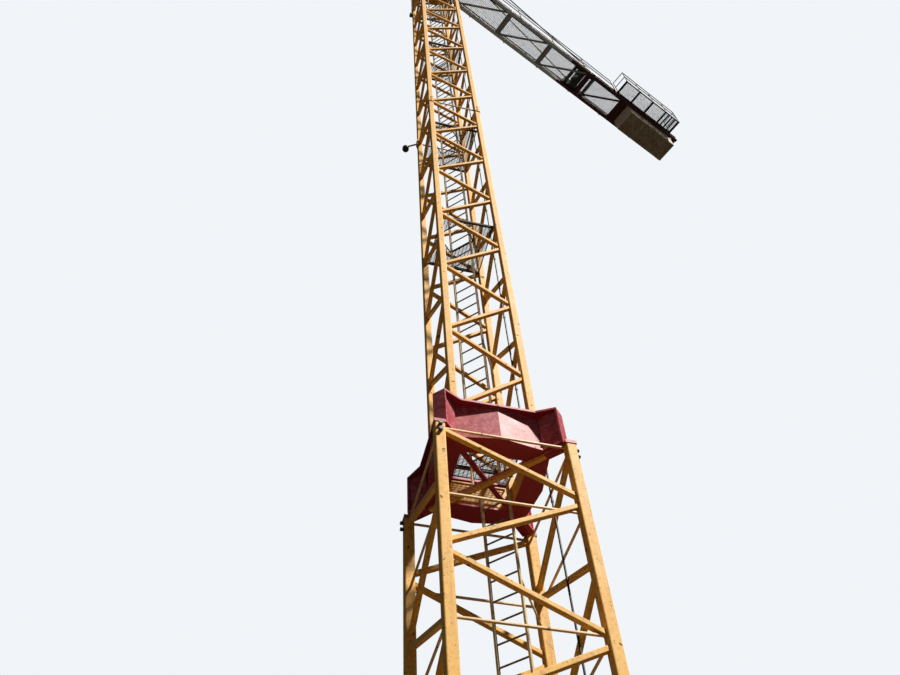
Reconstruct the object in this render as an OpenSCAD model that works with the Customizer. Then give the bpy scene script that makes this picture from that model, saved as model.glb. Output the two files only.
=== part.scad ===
// Tower crane at half of its real size, in millimetres.
// The tower stands on the Z axis and the upper works turn about it.

/* [Base] */
// Width of the base frame between the centres of its shoes
base_w = 860; // [700:10:1000]
// Height of the base beams
base_beam_h = 150; // [100:10:200]
// Width of the base beams
base_beam_w = 120; // [90:10:160]
// Side of the square shoe plate under each corner post
shoe_w = 260; // [220:10:320]
// Thickness of the shoe plates
shoe_t = 30; // [15:1:40]
// Distance between the anchor bolts of one shoe
anchor_pitch = 190; // [184:2:210]
// Diameter of the anchor bolt holes
anchor_d = 24; // [14:1:30]

/* [Lower mast] */
// Distance between the corner posts of the lower mast, centre to centre
lower_w = 860; // [700:10:1000]
// Side of a lower corner post
lower_post = 68; // [50:1:90]
// Height of one full zigzag of the lower bracing
lower_pitch = 991; // [800:1:1200]
// Number of full zigzags of the lower bracing
lower_bays = 5; // [3:1:6]
// Height of the lowest node of the lower bracing
lower_start = 270; // [240:1:400]
// Width of the zigzag bars of the lower mast, in the plane of the side
lower_bar = 34; // [20:1:50]
// Depth of the zigzag bars of the lower mast
lower_bar_d = 34; // [20:1:50]
// Distance between two neighbouring bars where they meet a lower post, centre to centre
lower_node = 92; // [44:1:110]
// Width of the thin ties between the lower posts
tie_w = 15; // [10:1:24]
// Number of levels of thin ties
tie_levels = 6; // [2:1:7]
// Distance of the second tie level below the top of the lower posts
tie_drop = 589; // [400:1:700]
// Distance between the further tie levels
tie_pitch = 864; // [700:1:950]
// Distance of the top tie below the top of the lower posts
tie_top = 20; // [10:1:60]

/* [Upper mast] */
// Distance between the corner posts of the upper mast, centre to centre
upper_w = 556; // [460:2:640]
// Side of an upper corner post
upper_post = 55; // [40:1:70]
// Height of one full zigzag of the upper bracing
upper_pitch = 947; // [800:1:1100]
// Number of full zigzags above the transition frame
upper_bays = 13; // [8:1:14]
// Height of the first node of the upper bracing above the lower posts
upper_start = 401; // [380:1:460]
// Width of the zigzag bars of the upper mast, in the plane of the side
upper_bar = 32; // [20:1:45]
// Depth of the zigzag bars of the upper mast
upper_bar_d = 32; // [20:1:45]
// Distance between two neighbouring bars where they meet an upper post, centre to centre
upper_node = 58; // [44:1:80]
// Length of the posts above the last node
upper_end = 40; // [30:1:120]
// Number of zigzags in one mast section
section_bays = 6; // [3:1:8]
// Height of the connecting sleeves at a section joint
sleeve_h = 150; // [80:2:220]
// Thickness of the connecting sleeves
sleeve_t = 9; // [5:1:16]

/* [Transition frame] */
// Height of the transition frame from foot pad to top flange
frame_h = 370; // [300:1:440]
// Thickness of the foot pads on the lower posts
pad_t = 26; // [15:1:40]
// Side of the foot pads
pad_w = 76; // [70:1:140]
// Thickness of the flanges of the frame
flange_t = 17; // [8:1:24]
// Thickness of the web plates of the frame
web_t = 12; // [6:1:20]
// Outward bow of each side web at its middle
web_bow = 50; // [20:1:80]
// Distance of the straight flange edge from the mast axis
flange_edge = 387; // [370:1:420]
// Half length of the straight flange edge
flange_straight = 258; // [180:1:300]
// Distance of the corner end plates from the mast axis, along X and along Y
end_plate_c = 416; // [400:1:440]
// Width of the corner end plates
end_plate_w = 92; // [60:1:120]
// Half side of the square opening in the bottom plate
well_half = 232; // [180:1:245]
// Width of the crossed bars in that opening
well_bar = 34; // [20:1:50]
// Distance of the arm plates from the arm's middle, as a share of the end plate's width
arm_plate_at = 0.28; // [0.2:0.01:0.4]
// Width of the plan brace between two opposite corners
plan_bar = 30; // [20:1:40]
// Diameter of the pins in the tops of the lower posts
pin_d = 26; // [16:1:34]
// Length of a pin outside its post
pin_l = 24; // [12:1:36]
// Distance between the two pins of a post
pin_pitch = 56; // [40:1:80]
// Height of the deep plates between the upper posts inside the frame
foot_plate_h = 198; // [120:1:260]
// Thickness of the deep plates
foot_plate_t = 12; // [6:1:20]
// Distance of the deep plates above the bottom plate
foot_plate_lift = 52; // [20:1:90]
// Height of the grating deck above the bottom plate
deck_lift = 268; // [255:1:300]
// Distance of the deck's carrying bars from the mast axis
deck_bar_y = 150; // [125:1:200]

/* [Ladder] */
// Distance between the outer edges of the ladder's stiles
ladder_w = 214; // [180:2:240]
// Distance from one rung to the next
rung_pitch = 150; // [120:5:180]
// Diameter of a rung
rung_d = 12; // [8:1:18]
// Width of a stile
stile_w = 12; // [8:1:20]
// Side of the bars that hold the ladder to the mast
bracket_w = 12; // [8:1:16]
// Depth of a stile
stile_d = 25; // [15:1:35]
// Offset of the lower ladder along the diagonal, away from the near corner
lower_ladder_off = 103; // [60:1:130]
// Offset of the upper ladder along the diagonal
upper_ladder_off = 0; // [-20:1:30]

/* [Platforms] */
// Number of rest platforms
platforms = 4; // [1:1:4]
// Thickness of a platform's grating
grating_t = 10; // [6:1:16]
// Side of the platform's carrying bars
platform_bar = 22; // [16:1:30]
// Width of the climbing hatch along the rungs
hatch_w = 240; // [225:1:260]
// Reach of the climbing hatch along the diagonal
hatch_reach = 200; // [180:1:220]
// Reach of the hatch behind the ladder
hatch_back = 25; // [18:1:40]

/* [Camera and cable] */
// Height of the camera arm above the section joint that it is bolted to
camera_lift = -20; // [-30:1:34]
// Length of the camera arm
camera_arm_l = 140; // [100:1:220]
// Drop of the camera arm from the mast to its end
camera_arm_drop = 160; // [60:1:200]
// Diameter of the camera arm
camera_arm_d = 20; // [10:1:24]
// Diameter of the camera dome
camera_dome_d = 78; // [60:1:100]
// Diameter of the power cable
cable_d = 18; // [12:1:30]
// Place of the cable in front of the mast axis in the lower mast
cable_low_y = 80; // [66:1:100]
// Place of the cable in front of the mast axis in the upper mast
cable_high_y = 150; // [130:1:180]
// Height above the transition frame at which the cable turns in
cable_turn = 10; // [8:1:16]
// Height over which the cable crosses to the inside of the upper mast
cable_cross = 80; // [70:1:90]
// Clearance between the cable and what it passes
cable_gap = 0.3; // [0.2:0.1:2]
// Height of the junction box on the far left post
box_h = 90; // [60:1:120]
// Width of the junction box along its post
box_w = 50; // [30:1:54]
// Depth of the junction box
box_d = 50; // [30:1:70]
// Diameter of the signal cable above the box
signal_d = 8; // [5:1:12]

/* [Slewing unit] */
// Height of the fixed slewing support
support_h = 420; // [320:1:500]
// Outer side of the support's square foot
support_w = 660; // [620:2:720]
// Height of the support's square foot
support_foot_h = 130; // [90:1:160]
// Outer radius of the slewing ring
ring_r = 330; // [300:1:360]
// Bore radius of the slewing ring
ring_bore_r = 262; // [230:1:280]
// Height of each half of the slewing ring
ring_h = 46; // [30:1:60]
// Gap between the two halves of the slewing ring
ring_gap = 0.4; // [0.3:0.1:2]
// Height of the turning platform
turntable_h = 130; // [90:1:180]
// Side of the turning platform
turntable_w = 760; // [700:2:860]

/* [Tower head] */
// Direction of the counter-jib in degrees from +X
rest_turn = 22.67; // [0:0.01:90]
// Height of the counter-jib's girders above the turning platform
girder_lift = 538; // [400:1:700]
// Side of the head's square foot between its legs
head_w = 520; // [460:2:560]
// Side of a head leg
head_leg = 56; // [40:1:70]
// Height of the head above the turning platform
head_h = 3900; // [3000:10:4500]
// Side of the head's top between its legs
head_top_w = 150; // [120:2:220]
// Number of panels of bracing in the head
head_bays = 5; // [3:1:7]
// Side of the head's bracing bars
head_bar = 26; // [16:1:36]

/* [Counter-jib] */
// Distance between the girders, centre to centre
girder_gap = 500; // [460:2:560]
// Depth of a girder
girder_h = 150; // [110:1:200]
// Width of a girder's flanges
girder_flange = 60; // [50:1:66]
// Thickness of a girder's flanges and web
girder_t = 9; // [5:1:14]
// Distance of the first cross beam from the mast axis
cross_start = 765; // [700:1:900]
// Distance between the cross beams
cross_pitch = 1030; // [900:1:1100]
// Number of cross beams
cross_count = 5; // [3:1:5]
// Width of a cross beam
cross_w = 92; // [60:1:120]
// Height of a cross beam
cross_h = 60; // [40:1:66]
// Width of the wide cross beam in front of the counterweight
cross_wide = 180; // [120:1:200]
// Side of the diagonals between the girders
cross_bar = 34; // [16:1:40]
// Width of the walkway's edge bars
walk_edge = 14; // [8:1:20]
// Height of the walkway's edge bars
walk_edge_h = 36; // [20:1:50]
// Gap between the walkway and the girders' flanges
walk_gap = 12; // [5:1:20]
// Distance of the joint between grey girders and end girders from the axis
girder_joint = 3354; // [3100:1:3600]
// Distance of the girders' far end from the axis
girder_end = 6304; // [6200:1:6500]
// Height of the handrails above the girders
rail_h = 500; // [400:5:600]
// Diameter of the handrail tubes
rail_d = 17; // [10:1:24]
// Distance between the handrail posts
rail_pitch = 860; // [600:10:1100]

/* [Counterweight] */
// Start of the counterweight from the axis
weight_start = 4925; // [4920:1:5100]
// Number of counterweight slabs
weight_slabs = 5; // [3:1:6]
// Thickness of a slab
slab_t = 240; // [180:1:260]
// Gap between slabs
slab_gap = 3; // [1:1:20]
// Width of a slab
slab_w = 430; // [360:1:434]
// Distance that a slab hangs below the girders
slab_drop = 387; // [300:1:500]
// Height of a slab above the girders' top
slab_head = 90; // [60:1:160]

/* [Service platform] */
// Start of the service platform from the axis
service_start = 4560; // [4400:1:4800]
// Length of the service platform
service_l = 1510; // [1200:1:1700]
// Width of the service platform
service_w = 310; // [250:1:360]
// Thickness of the platform's frame
service_t = 50; // [30:1:70]
// Width of the bars of the platform's frame
service_bar = 26; // [16:1:40]
// Number of bays of the platform's frame
service_bays = 4; // [3:1:6]

/* [Jib] */
// Length of the jib from the mast axis to its tip
jib_l = 22400; // [18000:100:24000]
// Distance between the lower jib chords, centre to centre
jib_w = 560; // [480:2:640]
// Height from the lower chords to the top chord, centre to centre
jib_h = 620; // [520:2:760]
// Side of the jib's chords
jib_chord = 50; // [40:1:70]
// Side of the jib's bracing bars
jib_bar = 24; // [16:1:34]
// Number of bays of jib bracing
jib_bays = 22; // [16:1:24]
// Bay at which the inner tie bar is pinned
inner_tie_bay = 6; // [4:1:9]
// Bay at which the outer tie bar is pinned
outer_tie_bay = 15; // [12:1:18]
// Diameter of the tie bars
tie_bar_d = 26; // [16:1:40]

/* [Trolley and hook] */
// Distance of the trolley from the mast axis
trolley_s = 7000; // [3000:100:19000]
// Length of the trolley
trolley_l = 620; // [500:10:800]
// Drop of the hook block below the jib
hook_drop = 3000; // [1500:10:5000]
// Diameter of the hoist rope
rope_d = 8; // [6:0.5:12]
// Distance between the rope falls
fall_gap = 170; // [120:5:240]

/* [Cab and winch] */
// Length of the cab
cab_l = 800; // [700:10:900]
// Width of the cab
cab_w = 560; // [500:10:700]
// Height of the cab
cab_h = 1050; // [900:10:1200]
// Thickness of the cab's walls
cab_t = 20; // [12:1:30]
// Diameter of the hoist drum
drum_d = 260; // [180:5:320]
// Length of the hoist drum
drum_l = 300; // [200:5:320]

/* [Hidden] */

base_top = shoe_t + base_beam_h;
lower_top = lower_start + lower_bays * lower_pitch;
lower_half = lower_w / 2;
lower_in = lower_half - lower_post / 2;
upper_half = upper_w / 2;
upper_in = upper_half - upper_post / 2;
upper_out = upper_half + upper_post / 2;
frame_z = lower_top + pad_t;
plate_top = frame_z + flange_t;
frame_top = lower_top + frame_h;
upper_first = lower_top + upper_start;
upper_last = upper_first + upper_bays * upper_pitch;
upper_top = upper_last + upper_end;
camera_x = -upper_out - sleeve_t;
camera_level = upper_first + section_bays * upper_pitch + camera_lift;
camera_plate_t = 6;
camera_end = camera_level - camera_arm_drop;
camera_stem_h = 46;
support_top = upper_top + support_h;
ring_top = support_top + 2 * ring_h + ring_gap;
table_top = ring_top + turntable_h;
girder_low = table_top + girder_lift;
girder_top = girder_low + girder_h;
head_top = table_top + head_h;
head_knee = girder_top + head_leg;
head_face = head_w / 2 + head_leg / 2;
jib_low = girder_low + jib_chord / 2;
cap_half = head_top_w / 2 + 50;
cap_cheek_y = 60;
cap_cheek_h = 110;
cap_t = 16;
tie_z0 = head_top + cap_t + cap_cheek_h / 2;
counter_tie_s = 4480;
floor_drop = 20;
flange_out = girder_gap / 2 + girder_flange / 2;
rail_y = flange_out + rail_d / 2;
motor_d = 110;
motor_foot_h = 60;
motor_h = 200;
cab_start = -900;
cab_side = turntable_w / 2 + 20;
cab_beam_w = 80;
cab_floor = ring_top + cab_beam_w;
cab_beam_inset = 100;
cab_frame = 60;
glass_t = 8;
winch_s = 3800;
notch_gap = 6;
winch_base_h = 60;
trolley_h = 160;
platform_levels = [2.98, 5.4, 8.5, 11.6];
box_level = 11.75;
weight_gap = 4;
cross_fixed = 3;
sheave_d = 150;
steel_yellow = [0.93, 0.66, 0.27];
frame_red = [0.55, 0.12, 0.15];
galvanised = [0.62, 0.63, 0.62];
dark_red = [0.36, 0.12, 0.12];
concrete = [0.66, 0.60, 0.50];
dark = [0.12, 0.12, 0.12];

// A square bar from point a to point b, w wide and d deep.
module bar(a, b, w, d = 0) {
    v = b - a;
    len = norm(v);
    flat = norm([v[0], v[1]]);
    deep = d == 0 ? w : d;
    translate(a) rotate([0, 0, atan2(v[1], v[0])]) rotate([0, atan2(flat, v[2]), 0])
        translate([-w / 2, -deep / 2, 0]) cube([w, deep, len]);
}

// A round rod from point a to point b.
module rod(a, b, d, sides = 24) {
    v = b - a;
    flat = norm([v[0], v[1]]);
    translate(a) rotate([0, 0, atan2(v[1], v[0])]) rotate([0, atan2(flat, v[2]), 0])
        cylinder(h = norm(v), d = d, $fn = sides);
}

// A box given by its two corners.
module block(low, high) {
    translate(low) cube(high - low);
}

// Repeats its children on the four corners of a square, turned a quarter each time.
module four_sides() {
    for (k = [0:3]) rotate([0, 0, 90 * k]) children();
}

// One side of a zigzag bracing between two posts whose inner faces are in apart from the axis.
module zigzag(half, in, z0, pitch, bays, w, d, node_w) {
    rise = pitch / 2 - node_w;
    slant = w / 2 * sqrt(1 + pow(rise / (2 * in), 2));
    for (k = [0:2 * bays - 1]) {
        low = z0 + k * pitch / 2 + node_w / 2;
        side = k % 2 == 0 ? 1 : -1;
        translate([0, -half + d / 2, 0]) rotate([90, 0, 0]) linear_extrude(d)
            polygon([[-side * in, low - slant], [side * in, low + rise - slant],
                     [side * in, low + rise + slant], [-side * in, low + slant]]);
    }
}

// Level of tie number k, counted down from the top of the lower posts.
function tie_z(k) = k == 0 ? lower_top - tie_top : lower_top - tie_drop - (k - 1) * tie_pitch;

// One braced side of the lower mast with its thin ties.
module lower_side() {
    intersection() {
        zigzag(lower_half, lower_in, lower_start, lower_pitch, lower_bays, lower_bar, lower_bar_d, lower_node);
        block([-lower_half, -lower_w, base_top], [lower_half, 0, lower_top]);
    }
    for (k = [0:tie_levels - 1])
        translate([0, -lower_half, tie_z(k)]) cube([2 * lower_in, tie_w, tie_w], center = true);
}

// One braced side of the upper mast with the ties of its section joints.
module upper_side() {
    zigzag(upper_half, upper_in, upper_first, upper_pitch, upper_bays, upper_bar, upper_bar_d, upper_node);
    for (k = [section_bays:section_bays:upper_bays - 1])
        translate([0, -upper_half, upper_first + k * upper_pitch]) 
            cube([2 * upper_in, tie_w, tie_w], center = true);
}

// Square posts on the corners of a square.
module posts(half, w, z0, z1) {
    for (x = [-half, half], y = [-half, half])
        translate([x - w / 2, y - w / 2, z0]) cube([w, w, z1 - z0]);
}

module base_frame() {
    half = base_w / 2;
    color(steel_yellow) difference() {
        union() {
            for (y = [-half, 0, half])
                block([-half, y - base_beam_w / 2, 0], [half, y + base_beam_w / 2, base_top]);
            for (x = [-half, 0, half])
                block([x - base_beam_w / 2, -half, 0], [x + base_beam_w / 2, half, base_top]);
            posts(half, shoe_w, 0, shoe_t);
        }
        for (x = [-half, half], y = [-half, half], i = [-1, 1], j = [-1, 1])
            translate([x + i * anchor_pitch / 2, y + j * anchor_pitch / 2, -1])
                cylinder(h = shoe_t + 2, d = anchor_d, $fn = 32);
    }
}

module lower_posts() {
    color(steel_yellow) posts(lower_half, lower_post, base_top, lower_top);
}

module lower_brace_front() { color(steel_yellow) lower_side(); }
module lower_brace_right() { color(steel_yellow) rotate([0, 0, 90]) lower_side(); }
module lower_brace_back() { color(steel_yellow) rotate([0, 0, 180]) lower_side(); }
module lower_brace_left() { color(steel_yellow) rotate([0, 0, 270]) lower_side(); }

// A ladder that stands across the mast's diagonal.
module ladder(off, z0, z1) {
    mid = off / sqrt(2);
    translate([mid, mid, 0]) rotate([0, 0, -45]) {
        for (s = [-1, 1])
            translate([s * (ladder_w - stile_w) / 2 - stile_w / 2, -stile_d / 2, z0])
                cube([stile_w, stile_d, z1 - z0]);
        for (z = [z0 + rung_pitch:rung_pitch:z1 - rung_d])
            translate([-ladder_w / 2 + stile_w / 2, 0, z]) rotate([0, 90, 0])
                cylinder(h = ladder_w - stile_w, d = rung_d, $fn = 6);
    }
}

// The two arms that hold the ladder to the far right post at height z.
module ladder_bracket(off, half, post, z) {
    mid = off / sqrt(2);
    reach = (ladder_w - stile_w) / 2 / sqrt(2);
    difference() {
        for (s = [-1, 1])
            bar([mid + s * reach, mid - s * reach, z], [half, half, z], bracket_w);
        translate([half - post / 2, half - post / 2, z - bracket_w]) cube([post, post, 2 * bracket_w]);
    }
}

module lower_ladder() {
    color(steel_yellow) {
        ladder(lower_ladder_off, base_top, lower_top);
        for (k = [0:lower_bays - 1])
            ladder_bracket(lower_ladder_off, lower_half, lower_post, lower_start + (k + 0.25) * lower_pitch);
    }
}

// Two pins in the outer face of each post's top.
module post_pins() {
    color(dark) four_sides() for (k = [0, 1])
        translate([-lower_half, -lower_half - lower_post / 2, lower_top - pin_d - k * pin_pitch])
            rotate([90, 0, 0]) cylinder(h = pin_l, d = pin_d, $fn = 32);
}

// The bar that ties two opposite corners under the transition frame.
module plan_brace() {
    c = upper_out + web_t / 2;
    h = plan_bar / 2 / sqrt(2);
    color(steel_yellow) translate([0, 0, lower_top]) linear_extrude(pad_t)
        polygon([[-c - h, c - h], [h - c, c + h], [c + h, h - c], [c - h, -c - h]]);
}

// The eight-sided outline of the side webs, bowed out at the middle of each side.
module web_outline(in) {
    c = upper_out + web_t - in;
    m = c + web_bow;
    polygon([[-c, -c], [0, -m], [c, -c], [m, 0], [c, c], [0, m], [-c, c], [-m, 0]]);
}

// The flange outline: straight edges that flare out to the corner end plates.
module flange_outline() {
    h = end_plate_w / 2 / sqrt(2);
    a = end_plate_c - h;
    b = end_plate_c + h;
    polygon([
        [-a, -b], [-flange_straight, -flange_edge], [flange_straight, -flange_edge], [a, -b],
        [b, -a], [flange_edge, -flange_straight], [flange_edge, flange_straight], [b, a],
        [a, b], [flange_straight, flange_edge], [-flange_straight, flange_edge], [-a, b],
        [-b, a], [-flange_edge, flange_straight], [-flange_edge, -flange_straight], [-b, -a]
    ]);
}

// The bottom plate: the web outline with an arm out to each corner.
module bottom_outline() {
    difference() {
        union() {
            web_outline(-20);
            for (k = [0:3]) rotate([0, 0, 45 + 90 * k])
                translate([upper_out, -end_plate_w / 2]) square([end_plate_c * sqrt(2) - upper_out, end_plate_w]);
        }
        difference() {
            square(2 * well_half, center = true);
            for (a = [45, 135])
                rotate([0, 0, a]) square([4 * well_half, well_bar], center = true);
        }
    }
}

module transition_frame() {
    arm_in = (upper_out + web_t / 2) * sqrt(2);
    arm_out = end_plate_c * sqrt(2);
    color(frame_red) difference() {
        union() {
            translate([0, 0, frame_z]) linear_extrude(flange_t) bottom_outline();
            translate([0, 0, frame_z]) linear_extrude(frame_top - frame_z) difference() {
                web_outline(0);
                web_outline(web_t);
            }
            translate([0, 0, frame_top - flange_t]) linear_extrude(flange_t) difference() {
                flange_outline();
                square(2 * upper_out, center = true);
            }
            for (k = [0:3]) rotate([0, 0, 45 + 90 * k]) {
                for (s = [-1, 1])
                    block([arm_in, s * end_plate_w * arm_plate_at - web_t / 2, frame_z],
                          [arm_out, s * end_plate_w * arm_plate_at + web_t / 2, frame_top]);
                block([arm_out - web_t, -end_plate_w / 2, frame_z], [arm_out, end_plate_w / 2, frame_top]);
            }
            posts(lower_half, pad_w, lower_top, frame_z);
            for (k = [0:3]) rotate([0, 0, 45 + 90 * k])
                block([arm_in, -end_plate_w * arm_plate_at, lower_top],
                      [arm_out, end_plate_w * arm_plate_at, frame_z]);
        }
        posts(upper_half, upper_post, plate_top, frame_top + 1);
    }
}

module transition_deck() {
    z = plate_top + deck_lift;
    color(galvanised) difference() {
        union() {
            block([-upper_in, -upper_in, z], [upper_in, upper_in, z + grating_t]);
            for (s = [-1, 1])
                block([-upper_in, s * deck_bar_y - platform_bar / 2, z - platform_bar],
                      [upper_in, s * deck_bar_y + platform_bar / 2, z]);
        }
        hatch(z - 2 * platform_bar, 4 * platform_bar);
        cable_notch(z - 2 * platform_bar, 4 * platform_bar);
    }
}

// The space that a climbing hatch leaves open in front of the ladder.
module hatch(z, h) {
    rotate([0, 0, 45])
        block([-hatch_reach, -hatch_w / 2, z], [hatch_back, hatch_w / 2, z + h]);
}

module mast_foot_plates() {
    z = plate_top + foot_plate_lift;
    color(steel_yellow) four_sides()
        block([-upper_in, -upper_half - foot_plate_t / 2, z],
              [upper_in, -upper_half + foot_plate_t / 2, z + foot_plate_h]);
}

module upper_posts() {
    color(steel_yellow) posts(upper_half, upper_post, plate_top, upper_top);
}

module upper_brace_front() { color(steel_yellow) upper_side(); }
module upper_brace_right() { color(steel_yellow) rotate([0, 0, 90]) upper_side(); }
module upper_brace_back() { color(steel_yellow) rotate([0, 0, 180]) upper_side(); }
module upper_brace_left() { color(steel_yellow) rotate([0, 0, 270]) upper_side(); }

module section_sleeves() {
    color(steel_yellow)
        for (k = [section_bays:section_bays:upper_bays - 1])
            for (x = [-1, 1], y = [-1, 1]) {
                z = upper_first + k * upper_pitch - sleeve_h / 2;
                c = x * (upper_out);
                d = y * (upper_out);
                block([min(c, c + x * sleeve_t), min(d, d - y * upper_post), z],
                      [max(c, c + x * sleeve_t), max(d, d - y * upper_post), z + sleeve_h]);
                block([min(c, c - x * upper_post), min(d, d + y * sleeve_t), z],
                      [max(c, c - x * upper_post), max(d, d + y * sleeve_t), z + sleeve_h]);
            }
}

// Height of rest platform number k.
function platform_z(k) = upper_first + platform_levels[k] * upper_pitch;

module upper_ladder() {
    color(steel_yellow) {
        ladder(upper_ladder_off, plate_top, upper_top);
        for (k = [1:2:upper_bays - 1])
            ladder_bracket(upper_ladder_off, upper_half, upper_post, upper_first + (k + 0.25) * upper_pitch);
    }
}

module rest_platforms() {
    edge = upper_half - upper_bar_d / 2;
    color(galvanised)
        for (k = [0:platforms - 1]) {
            z = platform_z(k);
            difference() {
                union() {
                    block([-upper_in, -upper_in, z], [upper_in, upper_in, z + grating_t]);
                    for (s = [-1, 1])
                        block([-upper_in, s * (edge - platform_bar / 2) - platform_bar / 2, z - platform_bar],
                              [upper_in, s * (edge - platform_bar / 2) + platform_bar / 2, z]);
                }
                hatch(z - 1, grating_t + 2);
                cable_notch(z - 1, grating_t + 2);
            }
        }
}

module camera_arm() {
    color(galvanised) {
        block([camera_x - camera_plate_t, upper_half - 20, camera_level - 40],
              [camera_x, upper_half + 20, camera_level + 40]);
        difference() {
            rod([camera_x, upper_half, camera_level],
                [camera_x - camera_arm_l, upper_half, camera_end], camera_arm_d);
            block([camera_x - camera_plate_t / 2, 0, camera_end], [0, upper_w, camera_level + 2 * camera_arm_d]);
        }
        translate([camera_x - camera_arm_l, upper_half, camera_end - camera_stem_h / 2])
            cylinder(h = camera_stem_h, d = camera_arm_d + 8, $fn = 24);
    }
}

module camera_dome() {
    color(dark) translate([camera_x - camera_arm_l, upper_half, camera_end - camera_stem_h / 2])
        difference() {
            translate([0, 0, 4 - camera_dome_d / 2]) sphere(d = camera_dome_d, $fn = 48);
            cylinder(h = camera_dome_d, d = camera_dome_d, $fn = 48);
        }
}

// The points of the power cable, from the foot of the mast to its top.
function cable_route() = let(
        x0 = lower_half - lower_bar_d / 2 - cable_d / 2 - cable_gap,
        x1 = upper_half - upper_bar_d / 2 - cable_d / 2 - cable_gap,
        z1 = frame_top + cable_turn) [
    [x0, -cable_low_y, base_top],
    [x0, -cable_low_y, z1],
    [x1, -cable_high_y, z1 + cable_cross],
    [x1, -cable_high_y, upper_top]
];

module power_cable() {
    route = cable_route();
    cross = route[2] - route[1];
    reach = cross / norm(cross) * cable_d / 3;
    rise = [0, 0, cable_d / 3];
    color(dark) {
        rod(route[0], route[1] + rise, cable_d, 8);
        rod(route[1] - reach, route[2] + reach, cable_d, 8);
        rod(route[2] - rise, route[3], cable_d, 8);
    }
}

// The notch in a platform's edge that lets the cable through.
module cable_notch(z, h) {
    p = cable_route()[3];
    translate([p[0], p[1], z]) cylinder(h = h, d = cable_d + 2 * notch_gap, $fn = 32);
}

module junction_box() {
    z = upper_first + box_level * upper_pitch;
    color(dark) block([-upper_out - box_d, upper_half - box_w / 2, z - box_h],
                      [-upper_out, upper_half + box_w / 2, z]);
}

module signal_cable() {
    z = upper_first + box_level * upper_pitch;
    color(dark) translate([-upper_out - sleeve_t - cable_gap - signal_d / 2, upper_half, z])
        cylinder(h = upper_top - z, d = signal_d, $fn = 16);
}

module slewing_support() {
    color(steel_yellow) difference() {
        union() {
            translate([-support_w / 2, -support_w / 2, upper_top]) cube([support_w, support_w, support_foot_h]);
            translate([0, 0, upper_top]) cylinder(h = support_h, r = ring_r - 12, $fn = 64);
            for (k = [0:3]) rotate([0, 0, 45 + 90 * k]) translate([0, 8, upper_top + support_foot_h])
                rotate([90, 0, 0]) linear_extrude(16)
                    polygon([[ring_r - 20, 0], [support_w / 2 * 1.25, 0], [ring_r + 8, support_h - support_foot_h],
                             [ring_r - 20, support_h - support_foot_h]]);
            translate([0, 0, support_top - 24]) cylinder(h = 24, r = ring_r + 14, $fn = 64);
        }
        translate([0, 0, upper_top - 1]) cylinder(h = support_h + 2, r = ring_bore_r, $fn = 64);
    }
}

module ring(z, h, r) {
    translate([0, 0, z]) difference() {
        cylinder(h = h, r = r, $fn = 64);
        translate([0, 0, -1]) cylinder(h = h + 2, r = ring_bore_r, $fn = 64);
    }
}

module slewing_ring_fixed() { color(galvanised) ring(support_top, ring_h, ring_r); }

// Everything below turns with the upper works, with X along the counter-jib.
module turned() {
    rotate([0, 0, rest_turn]) children();
}

module slewing_ring_turning() {
    color(galvanised) ring(support_top + ring_h + ring_gap, ring_h, ring_r - 6);
}

module turntable() {
    color(steel_yellow) turned() {
        difference() {
            translate([-turntable_w / 2, -turntable_w / 2, ring_top])
                cube([turntable_w, turntable_w, turntable_h]);
            translate([0, 0, ring_top - 1]) cylinder(h = turntable_h + 2, r = ring_bore_r - 30, $fn = 64);
        }
        for (x = [cab_start + cab_l - cab_beam_inset, cab_start + cab_l - 2 * cab_beam_inset])
            block([x - cab_beam_w / 2, -cab_side - cab_w, ring_top],
                  [x + cab_beam_w / 2, -turntable_w / 2, ring_top + cab_beam_w]);
    }
}

module slewing_motors() {
    color(galvanised) turned() for (s = [-1, 1]) {
        translate([0, s * (turntable_w / 2 - motor_d / 2), table_top])
            cylinder(h = motor_foot_h, d = motor_d, $fn = 32);
        translate([0, s * (turntable_w / 2 - motor_d / 2), table_top + motor_foot_h])
            cylinder(h = motor_h, d = motor_d * 0.8, $fn = 32);
    }
}

// The half width of the head between its leg centres at height z.
function head_half(z) = z < head_knee ? head_w / 2
    : head_w / 2 + (head_top_w - head_w) / 2 * (z - head_knee) / (head_top - head_knee);

module tower_head() {
    panel = (head_top - head_knee) / head_bays;
    color(steel_yellow) turned() difference() {
        union() {
            posts(head_w / 2, head_leg, table_top, head_knee);
            for (x = [-1, 1], y = [-1, 1])
                bar([x * head_half(head_knee), y * head_half(head_knee), head_knee],
                    [x * head_half(head_top), y * head_half(head_top), head_top], head_leg);
            four_sides() {
                bar([-head_w / 2, -head_w / 2, table_top], [head_w / 2, -head_w / 2, girder_low], head_bar);
                for (z = [girder_low - head_bar, head_knee])
                    bar([-head_w / 2, -head_w / 2, z], [head_w / 2, -head_w / 2, z], head_bar);
                for (k = [0:head_bays - 1]) {
                    z0 = head_knee + panel * k;
                    z1 = z0 + panel;
                    s = k % 2 == 0 ? 1 : -1;
                    bar([-s * head_half(z0), -head_half(z0), z0],
                        [s * head_half(z1), -head_half(z1), z1], head_bar);
                    bar([-head_half(z1), -head_half(z1), z1], [head_half(z1), -head_half(z1), z1], head_bar);
                }
            }
        }
        block([-head_w, -head_w, table_top - head_leg], [head_w, head_w, table_top]);
        block([-head_w, -head_w, head_top], [head_w, head_w, head_top + head_leg]);
    }
}

module head_cap() {
    color(steel_yellow) turned() {
        block([-cap_half, -cap_half, head_top], [cap_half, cap_half, head_top + cap_t]);
        for (s = [-1, 1])
            block([-cap_half, s * cap_cheek_y - cap_t / 2, head_top + cap_t],
                  [cap_half, s * cap_cheek_y + cap_t / 2, head_top + cap_t + cap_cheek_h]);
    }
}

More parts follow.
